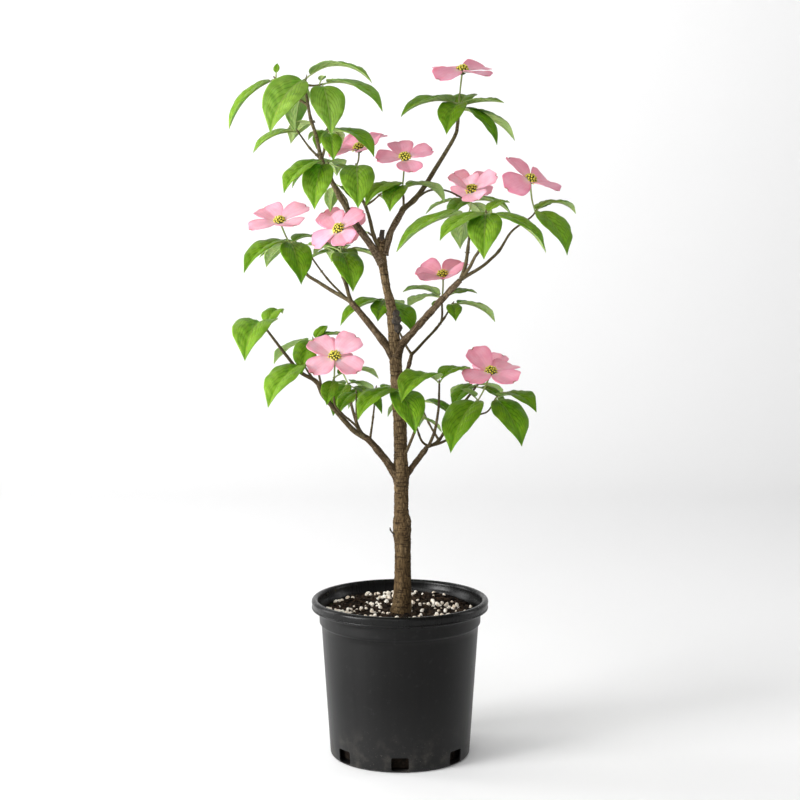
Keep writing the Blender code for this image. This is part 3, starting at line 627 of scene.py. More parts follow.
def worked_object(name, work):
    """A bmesh made an object."""
    mesh = bpy.data.meshes.new(name)
    work.to_mesh(mesh)
    work.free()
    return add_object(name, mesh)


def carry(obj, name, values, domain="POINT"):
    """Gives the object's mesh a named value for each point or face."""
    values = np.asarray(values)
    kind = "FLOAT_VECTOR" if values.ndim == 2 else "INT" if values.dtype.kind == "i" else "FLOAT"
    attribute = obj.data.attributes.new(name, kind, domain)
    attribute.data.foreach_set("vector" if kind == "FLOAT_VECTOR" else "value",
                               values.astype(np.int32 if kind == "INT" else np.float32).ravel())


def quads(rows, sides, first=0, inward=False):
    """The faces between rings of points that follow each other."""
    faces = []
    for start in range(first, first + rows * sides, sides):
        for i in range(sides):
            a, b = start + i, start + (i + 1) % sides
            faces.append((a, a + sides, b + sides, b) if inward else (a, b, b + sides, a + sides))
    return faces


def leaf_outline(t):
    """Half the width of a leaf at a share of its length, as a part of the widest."""
    return max(t ** 0.62 * (1 - t) / 0.342 * (1 - 0.42 * max(0.0, (t - 0.7) / 0.3)), 0.0)


def bract_outline(t):
    """Half the width of a bract: a narrow claw that swells to a broad rounded end."""
    return 0.16 * (1 - t) + t ** 0.9 * (1.05 - t) ** 0.5 / 0.433


def leaf_relief(t, s):
    """Height of the upper face: quilted between side veins that curve forward, sunk along the midrib."""
    s = abs(s)
    start = t + VEIN_SWEEP * math.log(1 - VEIN_REACH * min(s, 1.0))
    wave = math.sin(math.pi * (start - VEIN_START) / VEIN_SPACING) ** 2
    fade = smoothstep(VEIN_LAST + 0.06, VEIN_LAST - 0.06, start) * smoothstep(-0.45, -0.1, start)
    quilt = 1.5 * wave ** 0.7 * fade * (1 - smoothstep(0.82, 1.0, s)) * smoothstep(0.0, 0.14, s)
    return (quilt - 0.9 * math.exp(-(s / 0.09) ** 2) + 0.5) * min(1.0, leaf_outline(t) * 1.6)


def bract_relief(t, s):
    """Height of a bract's face: shallow channels that run from its claw to its broad end."""
    channels = 0.16 * math.sin(math.pi * BRACT_CHANNELS * s) ** 2 * min(1.0, 4 * t)
    return channels - 0.35 * math.exp(-(s / 0.07) ** 2) * (1 - t) + 0.5 * t ** 6 * math.exp(-(s / 0.3) ** 2)


def bract_shortening(t, s):
    """How much of a bract's length is cut at a place near its end, for its notch and its round corners."""
    return smoothstep(0.72, 1.0, t) * (0.06 * math.exp(-(s / 0.27) ** 2) + 0.11 * abs(s) ** 2.4)


def blade_shape(rows, columns, outline, relief, thickness, shorten=lambda t, s: 0.0,
                is_mark=lambda t, s: False):
    """A closed flat blade with an upper and a lower face that meet at its edge, for the blade tree."""
    around = [0.55 * (2 * j / columns - 1) - 0.45 * math.cos(math.pi * j / columns)
              for j in range(columns + 1)]
    lengths = [0.5 * k / rows + 0.5 * (1 - math.cos(math.pi * k / rows)) / 2 for k in range(rows + 1)]
    flat, solid, places, faces, zones, index = [], [], [], [], [], {}
    for side in (1, -1):
        for k, t in enumerate(lengths):
            for j, s in enumerate(around):
                rim = j in (0, columns) or k in (0, rows)
                if rim and side < 0:
                    index[side, k, j] = index[1, k, j]
                    continue
                index[side, k, j] = len(flat)
                flat.append((t * (1 - shorten(t, s)), s * outline(t), relief(t, s) * MM))
                solid.append((0.0, 0.0 if rim else side * thickness / 2 * MM, 0.0))
                places.append((t, s, 0.0))
    for side in (1, -1):
        for k in range(rows):
            for j in range(columns):
                corners = ((k, j), (k, j + 1), (k + 1, j + 1), (k + 1, j))
                faces.append(tuple(index[side, *corner] for corner in corners)[::side])
                zones.append(2 if is_mark(lengths[k], around[j]) else (1 - side) // 2)
    return flat, solid, places, faces, zones


def add_stalk(flat, solid, places, faces, zones):
    """Adds the leaf stalk, which runs on under the blade as its midrib, as a closed tapering tube."""
    rings, sides, first, start, end = 26, 8, len(flat), -1.0, 0.93
    for k in range(rings + 1):
        t = start + (end - start) * k / rings
        radius = 1.05 - 0.25 * max(t, -0.5) if t < 0.1 else 0.95 * (1.02 - t) + 0.1
        sink = 0.55 * smoothstep(-0.25, 0.1, t)
        for i in range(sides):
            turn = 2 * math.pi * i / sides
            flat.append((t, 0.0, 0.0))
            solid.append((radius * math.cos(turn) * MM, (radius * math.sin(turn) - sink) * MM, 0.0))
            places.append((max(t, 0.0), 0.0, 0.0))
    last = first + rings * sides
    faces += quads(rings, sides, first, True)
    faces += [tuple(range(first, first + sides)), tuple(range(last, last + sides))[::-1]]
    zones += [2] * (rings * sides + 2)


def finish_blade(name, flat, solid, places, faces, zones):
    """The blade as a mesh object that carries what the blade tree and the veins in its finish read."""
    blade = mesh_object(name, flat, faces)
    for title, values in (("flat", flat), ("solid", solid), ("blade_place", places)):
        carry(blade, title, values)
    carry(blade, "zone", zones, "FACE")
    return blade


def leaf_shape():
    shape = blade_shape(44, 18, leaf_outline, leaf_relief, LEAF_THICKNESS)
    add_stalk(*shape)
    return finish_blade("leaf_blade", *shape)


def bract_shape():
    shape = blade_shape(30, 22, bract_outline, bract_relief, BRACT_THICKNESS, bract_shortening,
                        lambda t, s: t > 0.955 and abs(s) < 0.25)
    return finish_blade("bract_blade", *shape)


def turned_shape(name, profile, sides, lobes=0, depth=0.0, scale=1.0):
    """A closed shape turned from (radius, height) points that start and end on the axis, lobed if asked."""
    points = []
    for radius, height in profile[1:-1]:
        for i in range(sides):
            turn = 2 * math.pi * i / sides
            size = radius * (1 + depth * math.cos(lobes * turn))
            points.append((size * math.cos(turn) * scale, size * math.sin(turn) * scale, height * scale))
    low, rings = len(points), len(profile) - 2
    points += [(0, 0, profile[0][1] * scale), (0, 0, profile[-1][1] * scale)]
    faces, last = quads(rings - 1, sides), (rings - 1) * sides
    for i in range(sides):
        j = (i + 1) % sides
        faces += [(j, i, low), (last + i, last + j, low + 1)]
    return mesh_object(name, points, faces)


def zoned_shape(name, profile, sides, lobes, depth, tip_from):
    """A small turned shape whose faces above a height carry zone 1."""
    shape = turned_shape(name, profile, sides, lobes, depth)
    carry(shape, "zone", [int(face.center.z > tip_from) for face in shape.data.polygons], "FACE")
    return shape


def floret_shape():
    """One flower bud of the dome: a green cup and four yellow lobes that close over it, one unit across."""
    profile = [(0, -0.9), (0.26, -0.9), (0.34, -0.3), (0.44, 0.05), (0.5, 0.25), (0.46, 0.42),
               (0.26, 0.56), (0, 0.5)]
    return zoned_shape("floret_bud", profile, 12, 4, 0.13, 0.1)


def bud_shape():
    """A pointed bud with two scales, one unit long."""
    profile = [(0, -0.1), (0.2, -0.1), (0.27, 0.15), (0.24, 0.4), (0.13, 0.75), (0.03, 0.97), (0, 1.0)]
    return zoned_shape("twig_bud", profile, 10, 2, 0.16, 0.6)


def receptacle_shape():
    """The dark green ball under a bloom's florets."""
    profile = [(0, -0.75), (0.2, -0.75), (0.5, -0.55), (0.72, -0.2), (0.72, 0.1), (0.5, 0.38),
               (0.2, 0.5), (0, 0.52)]
    return zoned_shape("receptacle_shape", profile, 16, 0, 0.0, 1.0)


def rough_stone(name, seed, size, subdivisions, dents):
    """A rounded grain with dents, by noise on a ball."""
    work = bmesh.new()
    bmesh.ops.create_icosphere(work, subdivisions=subdivisions, radius=0.5)
    for vert in work.verts:
        bulge = noise.noise(vert.co * 2.2 + Vector((seed * 3.1, 0, 0))) * dents
        bulge += noise.noise(vert.co * 5.0 + Vector((0, seed * 5.7, 0))) * dents * 0.4
        vert.co *= 1 + bulge
        vert.co = Vector((vert.co.x * size[0], vert.co.y * size[1], vert.co.z * size[2]))
    return worked_object(name, work)


def bark_chip(name, seed):
    """A splintered shard of bark, one unit long, thicker at one end."""
    vary = random.Random(seed)
    rings, sides, points = 5, 5, []
    for k in range(rings):
        t = k / (rings - 1)
        width = 0.16 * math.sin(math.pi * (0.12 + 0.8 * t)) * vary.uniform(0.7, 1.2) + 0.02
        height = 0.06 * vary.uniform(0.6, 1.2)
        bend = 0.08 * math.sin(math.pi * t) + vary.uniform(-0.02, 0.02)
        for x, z in ((-1, -0.6), (1, -0.8), (1.1, 0.5), (0.1, 1.1), (-1, 0.7)):
            points.append((t - 0.5, x * width * vary.uniform(0.8, 1.1), z * height + bend))
    ends = [tuple(range(sides))[::-1], tuple(range(sides * rings - sides, sides * rings))]
    return mesh_object(name, points, quads(rings - 1, sides) + ends)


def grow(name, source, tree, **inputs):
    """Runs a node tree on an object and keeps the result as a plain mesh piece. The source is used up."""
    modifier = source.modifiers.new("grow", "NODES")
    modifier.node_group = tree
    for socket in tree.interface.items_tree:
        key = socket.name.replace(" ", "_").lower()
        if socket.in_out == "INPUT" and key in inputs:
            modifier[socket.identifier] = inputs[key]
    mesh = shown_mesh(source)
    source.modifiers.remove(modifier)
    bpy.data.objects.remove(source)
    mesh.name = name
    if mesh.materials[0] is None:
        mesh.materials.pop(index=0)
    return add_object(name, mesh)


def shown_mesh(obj):
    """A plain mesh of what the object's modifiers show."""
    graph = bpy.context.evaluated_depsgraph_get()
    return bpy.data.meshes.new_from_object(obj.evaluated_get(graph), preserve_all_data_layers=True,
                                           depsgraph=graph)


def settle(obj):
    """Makes what the modifiers show the object's own mesh, and drops them."""
    mesh = shown_mesh(obj)
    obj.modifiers.clear()
    obj.data = mesh


def join(name, pieces):
    """Several meshes of one finish made one piece."""
    work, finish = bmesh.new(), pieces[0].data.materials[0]
    for piece in pieces:
        work.from_mesh(piece.data)
        bpy.data.objects.remove(piece)
    joined = worked_object(name, work)
    joined.data.materials.append(finish)
    return joined


def place(piece, slot, *nodes):
    """A finished piece rides on the one body, and stands for the nodes that it replaces."""
    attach(piece, "root")
    if nodes:
        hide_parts(*nodes)


# Limbs, twigs, leaves and blooms, by the plan.

def leaf_blade(base, kind, tint, vary):
    """What the blade tree needs to know of a leaf on its short stalk, bent down towards its tip."""
    return dict(base=base * MM, out=direction(kind.heading), up=(0.0, 0.0, 1.0),
                rise=math.radians(kind.bend / 2 - kind.dip), bend=math.radians(kind.bend),
                roll=math.radians(kind.roll), twist=math.radians(vary.uniform(-16, 16)),
                fold=math.radians(LEAF_FOLD + vary.uniform(-5, 6)), neck=PETIOLE * MM,
                length=kind.length * MM, half_width=kind.length * LEAF_WIDTH / 2 * MM,
                seed=vary.uniform(0, 9), tint=tint)


def bract_blade(base, axis, around, cup, size, tint, vary):
    """The same of a bract that rises from the bloom's face by its cup and bends back towards its end."""
    return dict(base=base * MM, out=around, up=axis, rise=math.radians(cup + BRACT_BEND / 2),
                bend=math.radians(BRACT_BEND), roll=0.0, twist=math.radians(vary.uniform(-9, 9)),
                fold=math.radians(BRACT_FOLD), neck=1.5 * MM, length=BRACT_LENGTH * size * MM,
                half_width=BRACT_WIDTH / 2 * size * MM, seed=vary.uniform(0, 9), tint=tint)


def blade_points(name, blades):
    """A mesh of loose points, one for each blade."""
    points = mesh_object(name, [blade["base"] for blade in blades])
    for field in blades[0]:
        carry(points, field, [blade[field] for blade in blades])
    return points


def limb_path(limb, step, rough, seed, flare=0.0, swellings=()):
    """A limb's line, its radii, thicker at its foot and at each swelling, its roughness and its seed."""
    path = smooth_path(limb.points, step)
    along = lengths_along(path)
    radii = limb.start_radius + (limb.end_radius - limb.start_radius) * along / along[-1]
    radii = radii * (1 + flare * np.exp(-along / (2.2 * limb.start_radius)))
    rings = [gain * np.exp(-((along - spot) / (1.1 * limb.start_radius + 1.0)) ** 2)
             for spot, gain in swellings]
    return path, radii * (1 + np.max(rings, axis=0)) if rings else radii, rough, seed


def path_mesh(name, paths):
    """The paths as one mesh of edges that carries what the bark tree needs."""
    points, edges = [], []
    for path, *_ in paths:
        edges.extend((len(points) + i, len(points) + i + 1) for i in range(len(path) - 1))
        points.extend(path * MM)
    obj = mesh_object(name, points, (), edges)
    carry(obj, "thickness", np.concatenate([radii * MM for _, radii, _, _ in paths]))
    carry(obj, "along", np.concatenate([lengths_along(path) * MM for path, *_ in paths]))
    carry(obj, "rough", [rough for path, _, rough, _ in paths for _ in path])
    carry(obj, "seed", [seed for path, _, _, seed in paths for _ in path])
    return obj


def bough_swellings(limb, vary):
    """Rings where old pairs of buds stood, every few centimetres."""
    whole = lengths_along(smooth_path(limb.points, 20))[-1]
    spots, spot = [], vary.uniform(16, 30)
    while spot < whole - 4:
        spots.append((spot, vary.uniform(0.08, 0.2)))
        spot += vary.uniform(22, 42)
    return spots


def stem_points(parent, limb):
    """The stem's points. One that goes on from a bough starts a little inside the bough's tip."""
    if parent == "trunk":
        return limb.points
    before, tip = (np.array(point, float) for point in BOUGHS[parent].points[-2:])
    onward = unit(tip - before)
    return (tip - onward * 4, tip + onward * 3, *limb.points)


def twig_line(stem, shoot):
    """The points of a twig from the stem to the tip of its shoot."""
    start = stem[max(1, round(shoot.at * (len(stem) - 1)))]
    tip = np.array(shoot.tip, float)
    via = shoot.via or ((start + tip) / 2 + np.array((0, 0, -0.06)) * np.linalg.norm(tip - start),)
    return (start, *via, tip)


class Mass:
    """Everything that grows in one foliage mass: wood, leaves, bracts, florets and buds."""

    def __init__(self, name):
        self.stems, self.green_twigs = [], []
        self.leaves, self.bracts, self.florets, self.domes, self.buds = [], [], [], [], []
        self.vary = random.Random(SEED + sum(map(ord, name)))
        parent, limb, *shoots = MASSES[name]
        limb = limb._replace(points=stem_points(parent, limb))
        coarse = smooth_path(limb.points, 30)
        along = lengths_along(coarse)
        joints = [(along[max(1, round(shoot.at * (len(coarse) - 1)))], 0.16)
                  for shoot in shoots if shoot.at < 1]
        self.stems.append(limb_path(limb, 2.0, 0.5, self.vary.uniform(0, 9), 0.0, joints))
        for shoot in shoots:
            self.add_shoot(coarse, shoot)

    def add_shoot(self, coarse, shoot):
        if shoot.at < 1:
            line = twig_line(coarse, shoot)
            coarse = smooth_path(line, 36)
            length = lengths_along(coarse)[-1]
            swell = [(length * 0.45, 0.25)] if length > 30 else []
            self.stems.append(limb_path(Limb(line, shoot.radius, TWIG_TIP_RADIUS), 2.0, 0.3,
                                        self.vary.uniform(0, 9), 0.35, swell + [(length, 0.45)]))
            if length > 30:
                self.add_bud_pair(coarse, 0.45, shoot.radius)
        tip, back = coarse[-1], unit(coarse[-2] - coarse[-1])
        tint = self.tint_of(tip)
        for i, kind in enumerate(shoot.leaves):
            base = tip + back * (ROOT_DEPTH + PAIR_STEP * (i // 2))
            self.leaves.append(leaf_blade(base, kind, tint, self.vary))
        if shoot.bloom:
            self.add_bloom(shoot.bloom, tip + back * 2.5 * ROOT_DEPTH)
        else:
            self.buds.append((tip * MM, -back, TIP_BUD))

    def add_bud_pair(self, path, share, radius):
        """Two small buds that stand on either side of a twig."""
        i = min(len(path) - 2, int(share * (len(path) - 1)))
        ahead = unit(path[i + 1] - path[i])
        point = path[i] + (path[i + 1] - path[i]) * 0.4
        side = unit(np.cross(ahead, direction(self.vary.uniform(0, 360), 20)))
        for way in (-1, 1):
            foot = (point + side * way * radius * 0.7) * MM
            self.buds.append((foot, unit(side * way + 0.9 * ahead), SIDE_BUD))

    def tint_of(self, tip):
        """Leaf tint by place: young and pale at the very top, with painted shade that makes leaves deeper
        lower down and at the back.
        """
        height, depth = (tip[2] - 480) / 500, tip[1] / 150
        # Painted shade: the score rises lower down and towards the back, which picks darker tints there.
        score = 2.3 - 1.5 * height + 0.9 * depth + self.vary.uniform(-0.5, 0.5)
        return int(np.clip(round(score), 0, len(TINTS) - 1))

    def add_bloom(self, kind, node):
        """Four bracts, an outer pair under an inner one, round a dome of florets on a stalk."""
        centre = np.array(kind.centre, float)
        axis = direction(kind.heading, kind.lift)
        right = unit(np.cross((0, 0, 1.0), axis))
        top = np.cross(axis, right)
        tint = self.vary.randrange(len(TINTS))
        for i in range(4):
            turn = math.radians(kind.spin + 90 * i)
            around = math.cos(turn) * right + math.sin(turn) * top
            base = centre + BRACT_ROOT * around - BRACT_STEP * (i % 2) * axis
            self.bracts.append(bract_blade(base, axis, around, kind.cups[i], kind.size, tint, self.vary))
        middle = (node + centre) / 2 - axis * 3 + np.array((0, 0, -1.0))
        stalk = Limb((node, middle, centre - axis * 1.0), STALK_RADIUS * 0.85, STALK_RADIUS * 1.15)
        self.green_twigs.append(limb_path(stalk, 2.0, 0.15, self.vary.uniform(0, 9)))
        self.domes.append((centre * MM, axis, DOME_RADIUS * MM))
        for k in range(DOME_FLORETS):
            # Points spread evenly over a cap by the golden angle.
            height = 1 - 0.78 * (k + 0.5) / DOME_FLORETS
            turn = k * math.pi * (3 - math.sqrt(5))
            flat = math.sqrt(1 - height * height)
            towards = height * axis + flat * (math.cos(turn) * right + math.sin(turn) * top)
            size = DOME_RADIUS * self.vary.uniform(0.28, 0.36)
            reach = DOME_RADIUS * self.vary.uniform(0.90, 1.06)
            self.florets.append(((centre + towards * reach - axis * 1.2) * MM, towards, size * MM))


def copy_points(name, rows, vary, longest):
    """Points for the copies tree from rows of place, direction and size."""
    points = mesh_object(name, [row[0] for row in rows])
    carry(points, "towards", [row[1] for row in rows])
    carry(points, "size", [(row[2], row[2], row[2] * vary.uniform(*longest)) for row in rows])
    carry(points, "spin", [vary.uniform(0, 2 * math.pi) for _ in rows])
    return points


# Shared effects, as shader groups.

def mottle_group():
    """Two colours in soft patches."""
    place, scale, low, high, first, second = new_tree(
        "Mottle", "Shader", Vector="Place", Float="Scale, Low, High", Color="First, Second")
    share = ramp_between(cloud(place, scale, 3.0, 0.55), low, high)
    return finish_tree(Colour=blend_colours(share, first, second), Share=share)


def veins_group():
    """The side veins, the bands between them and the midrib, from a leaf's blade place.

    That is the share of its length and the share of its half width.
    """
    blade_place, width = new_tree("Leaf Veins", "Shader", Vector="Blade Place", Float="Width")
    t, s, _ = separate(blade_place)
    s = absolute(s)
    inside = 1.0 - number("MINIMUM", s, 1.0) * VEIN_REACH
    start = t + number("LOGARITHM", inside, math.e) * VEIN_SWEEP
    wave = absolute(sine((start - VEIN_START) * (math.pi / VEIN_SPACING)))
    veined = ramp_between(start, VEIN_LAST, VEIN_LAST - 0.05) * ramp_between(start, -0.4, -0.1)
    veined = veined * ramp_between(s, 1.0, 0.85)
    return finish_tree(Veins=ramp_between(wave, width, 0.0) * veined, Bands=wave * veined,
                       Midrib=ramp_between(s, 0.05, 0.015))


def dust_group():
    """Soil dust in specks and smears that gather towards a height and fade above it."""
    place, height, reach, amount = new_tree("Soil Dust", "Shader", Vector="Place",
                                            Float="Height, Reach, Amount")
    near = ramp_between(absolute(separate(place)[2] - height), reach, 0.0)
    smear = ramp_between(cloud(place, 38.0, 5.0, 0.62), 0.46, 0.74)
    specks = ramp_between(cloud(place, 420.0, 1.0), 0.69, 0.76)
    dust = (smear * near * 0.6 + specks * (near * 0.9 + 0.12)) * amount
    return finish_tree(Dust=number("MINIMUM", dust, 1.0))


def effect(group, **inputs):
    """A shader group placed in the material on the bench, with its own values. Gives all its outputs."""
    titled = {key.replace("_", " ").title(): value for key, value in inputs.items()}
    return parts(make("ShaderNodeGroup", titled, node_tree=group))


def new_finish(name, colour, roughness, **plain):
    """Puts a new material on the bench, with plain values on its Principled shader's own sockets."""
    material = bpy.data.materials.new(name)
    material.use_nodes = True
    Bench.tree = material.node_tree
    Bench.shader = Bench.tree.nodes["Principled BSDF"]
    Bench.shader.inputs["Base Color"].default_value = (*colour, 1.0)
    Bench.shader.inputs["Roughness"].default_value = roughness
    for key, value in plain.items():
        Bench.shader.inputs[key.replace("_", " ").title().replace("Ior", "IOR")].default_value = value
    return material


def feed(title, value):
    """Links a formula to an input of the material's shader."""
    Bench.tree.links.new(value.socket, Bench.shader.inputs[title])


def bump(height, distance, strength):
    feed("Normal", make("ShaderNodeBump", {"Height": height, "Distance": distance, "Strength": strength}))


def object_place():
    return make("ShaderNodeTexCoord", output="Object")


def carried(name, output="Vector"):
    """A value that the mesh carries under this name, as a material reads it."""
    return make("ShaderNodeAttribute", output=output, attribute_name=name)


def shade(colour, factor):
    return tuple(factor * c for c in colour)


MOTTLE, VEINS, DUST = mottle_group(), veins_group(), dust_group()


def patches(first, second, scale, low, high, at=None):
    """Two colours in patches over the material on the bench, and the second one's share."""
    return effect(MOTTLE, place=at or object_place(), scale=scale, low=low, high=high, first=first,
                  second=second)


def leaf_finish(name, light, dark, vein, gloss):
    """A leaf's face: mottled green, painted shade in its sunken veins and painted highlight between them, a
    paler midrib and a fine net.
    """
    material = new_finish(name, light, gloss, subsurface_weight=0.5, subsurface_scale=0.003,
                          subsurface_radius=(0.55, 1.0, 0.06), specular_ior_level=0.16)
    veins, bands, midrib = effect(VEINS, blade_place=carried("blade_place"), width=0.45)
    # Painted highlight: the puffed bands between the side veins are painted lighter.
    colour = blend_colours(bands * 0.5, patches(light, dark, 55.0, 0.3, 0.72)[0], shade(light, 1.2))
    # Painted shade: the sunken side veins are painted darker.
    colour = blend_colours(veins * 0.68, colour, shade(dark, 0.6))
    feed("Base Color", blend_colours(midrib * 0.7, colour, vein))
    net = cracks(object_place(), 900.0)
    bump(ramp_between(net, 0.0, 0.2) * 0.5 - veins * 0.6, 0.00018, 0.5)
    return material


def bract_finish(name, pale, pink, rim):
    """A bract's face: cream at its claw, pink beyond, deeper at its rim, with fine lengthwise veins."""
    material = new_finish(name, pink, 0.52, subsurface_weight=0.5, subsurface_scale=0.003,
                          subsurface_radius=(1.0, 0.35, 0.3))
    t, s, _ = separate(carried("blade_place"))
    spread = absolute(s)
    deeper = tuple((a + b) / 2 for a, b in zip(pink, rim))
    claw = ramp_between(t + spread * 0.1, 0.34, 0.0)
    colour = blend_colours(claw * 0.85, patches(pink, deeper, 70.0, 0.3, 0.75)[0], pale)
    edge = number("MAXIMUM", ramp_between(spread, 0.62, 1.0), ramp_between(t, 0.72, 1.0))
    streaks = cloud(combine(t * 1.2, s * 9.0, 0.3), 2.4, 2.0)
    channel = absolute(sine(s * (math.pi * BRACT_CHANNELS)))
    for share in (edge * 0.75, ramp_between(channel, 0.3, 0.0) * 0.28,
                  ramp_between(streaks, 0.5, 0.75) * 0.3):
        colour = blend_colours(share, colour, rim)
    feed("Base Color", colour)
    bump(channel * 0.5 + streaks, 0.00025, 0.5)
    return material


def spotted_finish(name, light, dark, scale, roughness, relief=0.0003, **plain):
    """A finish of two colours in patches, with a grain of its own."""
    material = new_finish(name, light, roughness, **plain)
    feed("Base Color", patches(light, dark, scale, 0.34, 0.66)[0])
    bump(cloud(object_place(), scale * 6, 3.0), relief, 0.6)
    return material


def bark_finish(name, plate, crack, pale, scale, pale_share, youngest, young_share):
    """Bark: plates of one colour, cracks of another, pale worn patches and fine grain.

    youngest is the height at which the wood is youngest, and young_share how pale it is there.
    """
    material = new_finish(name, plate, 0.86, specular_ior_level=0.08)
    at = carried("bark_place")
    stretched = at * (1.0, 1.0, 0.35)
    patched, patch_share = patches(plate, shade(plate, 0.62), scale, 0.35, 0.65, stretched)
    worn = ramp_between(cloud(stretched, scale * 0.45, 4.0, 0.6), 0.60 - 0.2 * pale_share, 0.72)
    colour = blend_colours(worn * pale_share, patched, pale)
    young = ramp_between(separate(object_place())[2], youngest - 0.35, youngest)
    colour = blend_colours(young * young_share, colour, pale)
    open_crack = ramp_between(carried("plates", "Fac"), 0.85, 0.15)
    streaks = cloud(at * (1.0, 1.0, 0.1), 0.9, 3.0, 0.6)
    rings = cloud(at * (0.06, 0.06, 0.4), 1.0, 3.0, 0.6)
    for share in (open_crack * 0.5, ramp_between(streaks, 0.46, 0.62) * 0.5,
                  ramp_between(rings, 0.47, 0.36) * 0.8):
        colour = blend_colours(share, colour, crack)
    dust, = effect(DUST, place=object_place(), height=0.215, reach=0.10, amount=0.75)
    feed("Base Color", blend_colours(dust, colour, (0.03, 0.022, 0.015)))
    bump(cloud(stretched, 2.2, 4.0, 0.65) + patch_share * 0.4, 0.0006, 0.8)
    return material


def plastic_finish():
    """Black moulded plastic: a satin skin with faint upright flow lines, scuffs, dust at its foot, and
    painted light on its lower wall.
    """
    material = new_finish("moulded_plastic", (0.006, 0.006, 0.006), 0.42, specular_ior_level=0.19)
    at = object_place()
    x, y, z = separate(at)
    round_it = number("ARCTAN2", y, x)
    flow = cloud(combine(round_it * 9.0, z * 1.2, 0.0), 2.2, 4.0, 0.6)
    scuffs = ramp_between(cloud(combine(round_it * 5.0, z * 34.0, 3.0), 2.0, 5.0, 0.7), 0.56, 0.76)
    dust, = effect(DUST, place=at, height=0.0, reach=0.075, amount=0.85)
    colour = blend_colours(flow, (0.001, 0.001, 0.001), (0.004, 0.004, 0.004))
    # Painted light: the wall is painted lighter towards its foot.
    colour = blend_colours(ramp_between(z, 0.13, 0.02), colour, (0.009, 0.009, 0.009))
    colour = blend_colours(scuffs * 0.35, colour, (0.030, 0.030, 0.031))
    feed("Base Color", blend_colours(dust, colour, (0.075, 0.068, 0.058)))
    rubbed_rim = ramp_between(z, 0.212, 0.23)
    rough = flow * 0.18 + 0.29 + scuffs * 0.14 + dust * 0.4 - rubbed_rim * 0.1
    feed("Roughness", number("MINIMUM", rough, 1.0))
    bump(cloud(at, 900.0, 2.0) * 0.2 + flow, 0.00012, 0.35)
    return material


# The finishes of this tree and its pot.
BARK = bark_finish("trunk_bark", (0.128, 0.082, 0.038), (0.014, 0.008, 0.004), (0.26, 0.185, 0.10),
                   0.16, 0.6, 0.65, 0.55)
LIMB_BARK = bark_finish("limb_bark", (0.135, 0.091, 0.050), (0.018, 0.011, 0.006), (0.31, 0.235, 0.155),
                        0.26, 0.65, 0.92, 0.6)
TWIG_BARK = bark_finish("twig_bark", (0.125, 0.095, 0.048), (0.040, 0.028, 0.017), (0.24, 0.21, 0.11),
                        0.3, 0.5, 0.95, 0.4)
LEAF_TINTS = {
    tint: leaf_finish("leaf_" + tint, *look) for tint, look in zip(TINTS, (
        ((0.215, 0.335, 0.050), (0.130, 0.230, 0.024), (0.34, 0.42, 0.12), 0.50),
        ((0.170, 0.285, 0.022), (0.095, 0.190, 0.009), (0.27, 0.36, 0.06), 0.48),
        ((0.130, 0.235, 0.010), (0.068, 0.145, 0.004), (0.20, 0.29, 0.035), 0.46),
        ((0.095, 0.180, 0.007), (0.046, 0.105, 0.003), (0.15, 0.22, 0.025), 0.45),
    ))
}
LEAF_UNDERSIDE = leaf_finish("leaf_underside", (0.30, 0.38, 0.15), (0.23, 0.31, 0.10), (0.40, 0.46, 0.22),
                             0.6)
BRACT_TINTS = {
    tint: bract_finish(*look) for tint, look in zip(TINTS, (
        ("bract_soft_pink", (0.93, 0.78, 0.76), (0.89, 0.47, 0.57), (0.76, 0.27, 0.38)),
        ("bract_pink", (0.92, 0.76, 0.73), (0.87, 0.42, 0.53), (0.74, 0.23, 0.34)),
        ("bract_rose", (0.91, 0.74, 0.71), (0.85, 0.38, 0.49), (0.70, 0.20, 0.31)),
        ("bract_shell", (0.94, 0.80, 0.78), (0.91, 0.53, 0.62), (0.79, 0.30, 0.41)),
    ))
}
BRACT_BACK = bract_finish("bract_back", (0.82, 0.70, 0.62), (0.78, 0.40, 0.48), (0.68, 0.25, 0.35))
WOUND, MIDRIB, NOTCH, FLORET, FLORET_CUP, STALK, BUD, PERLITE = (spotted_finish(*look) for look in (
    ("old_wound", (0.022, 0.017, 0.013), (0.06, 0.045, 0.032), 240.0, 0.9, 0.0008),
    ("midrib", (0.30, 0.40, 0.12), (0.24, 0.30, 0.09), 150.0, 0.5),
    ("bract_notch", (0.26, 0.085, 0.06), (0.42, 0.16, 0.13), 500.0, 0.7),
    ("floret_lobes", (0.78, 0.68, 0.08), (0.60, 0.56, 0.06), 500.0, 0.5),
    ("floret_cup", (0.10, 0.12, 0.018), (0.030, 0.032, 0.010), 600.0, 0.7),
    ("bloom_stalk", (0.23, 0.33, 0.08), (0.20, 0.21, 0.06), 90.0, 0.55),
    ("twig_bud", (0.13, 0.12, 0.045), (0.09, 0.05, 0.03), 260.0, 0.65),
    ("white_grains", (0.90, 0.86, 0.78), (0.66, 0.55, 0.42), 130.0, 0.9, 0.0005),
))
SOIL = spotted_finish("soil_mix", (0.004, 0.003, 0.002), (0.013, 0.0085, 0.0055), 160.0, 0.95, 0.002,
                      specular_ior_level=0.1)
CHIPS = spotted_finish("bark_chips", (0.006, 0.004, 0.003), (0.042, 0.025, 0.014), 95.0, 0.9, 0.0006,
                       specular_ior_level=0.15)
CRUMBS = spotted_finish("soil_crumbs", (0.004, 0.003, 0.002), (0.021, 0.014, 0.009), 130.0, 0.95, 0.0006,
                        specular_ior_level=0.1)
PLASTIC = plastic_finish()

BLADES, LIMBS, COPIES, SCATTER = blade_tree(), limb_tree(), copies_tree(), scatter_tree()


# Pot and soil.

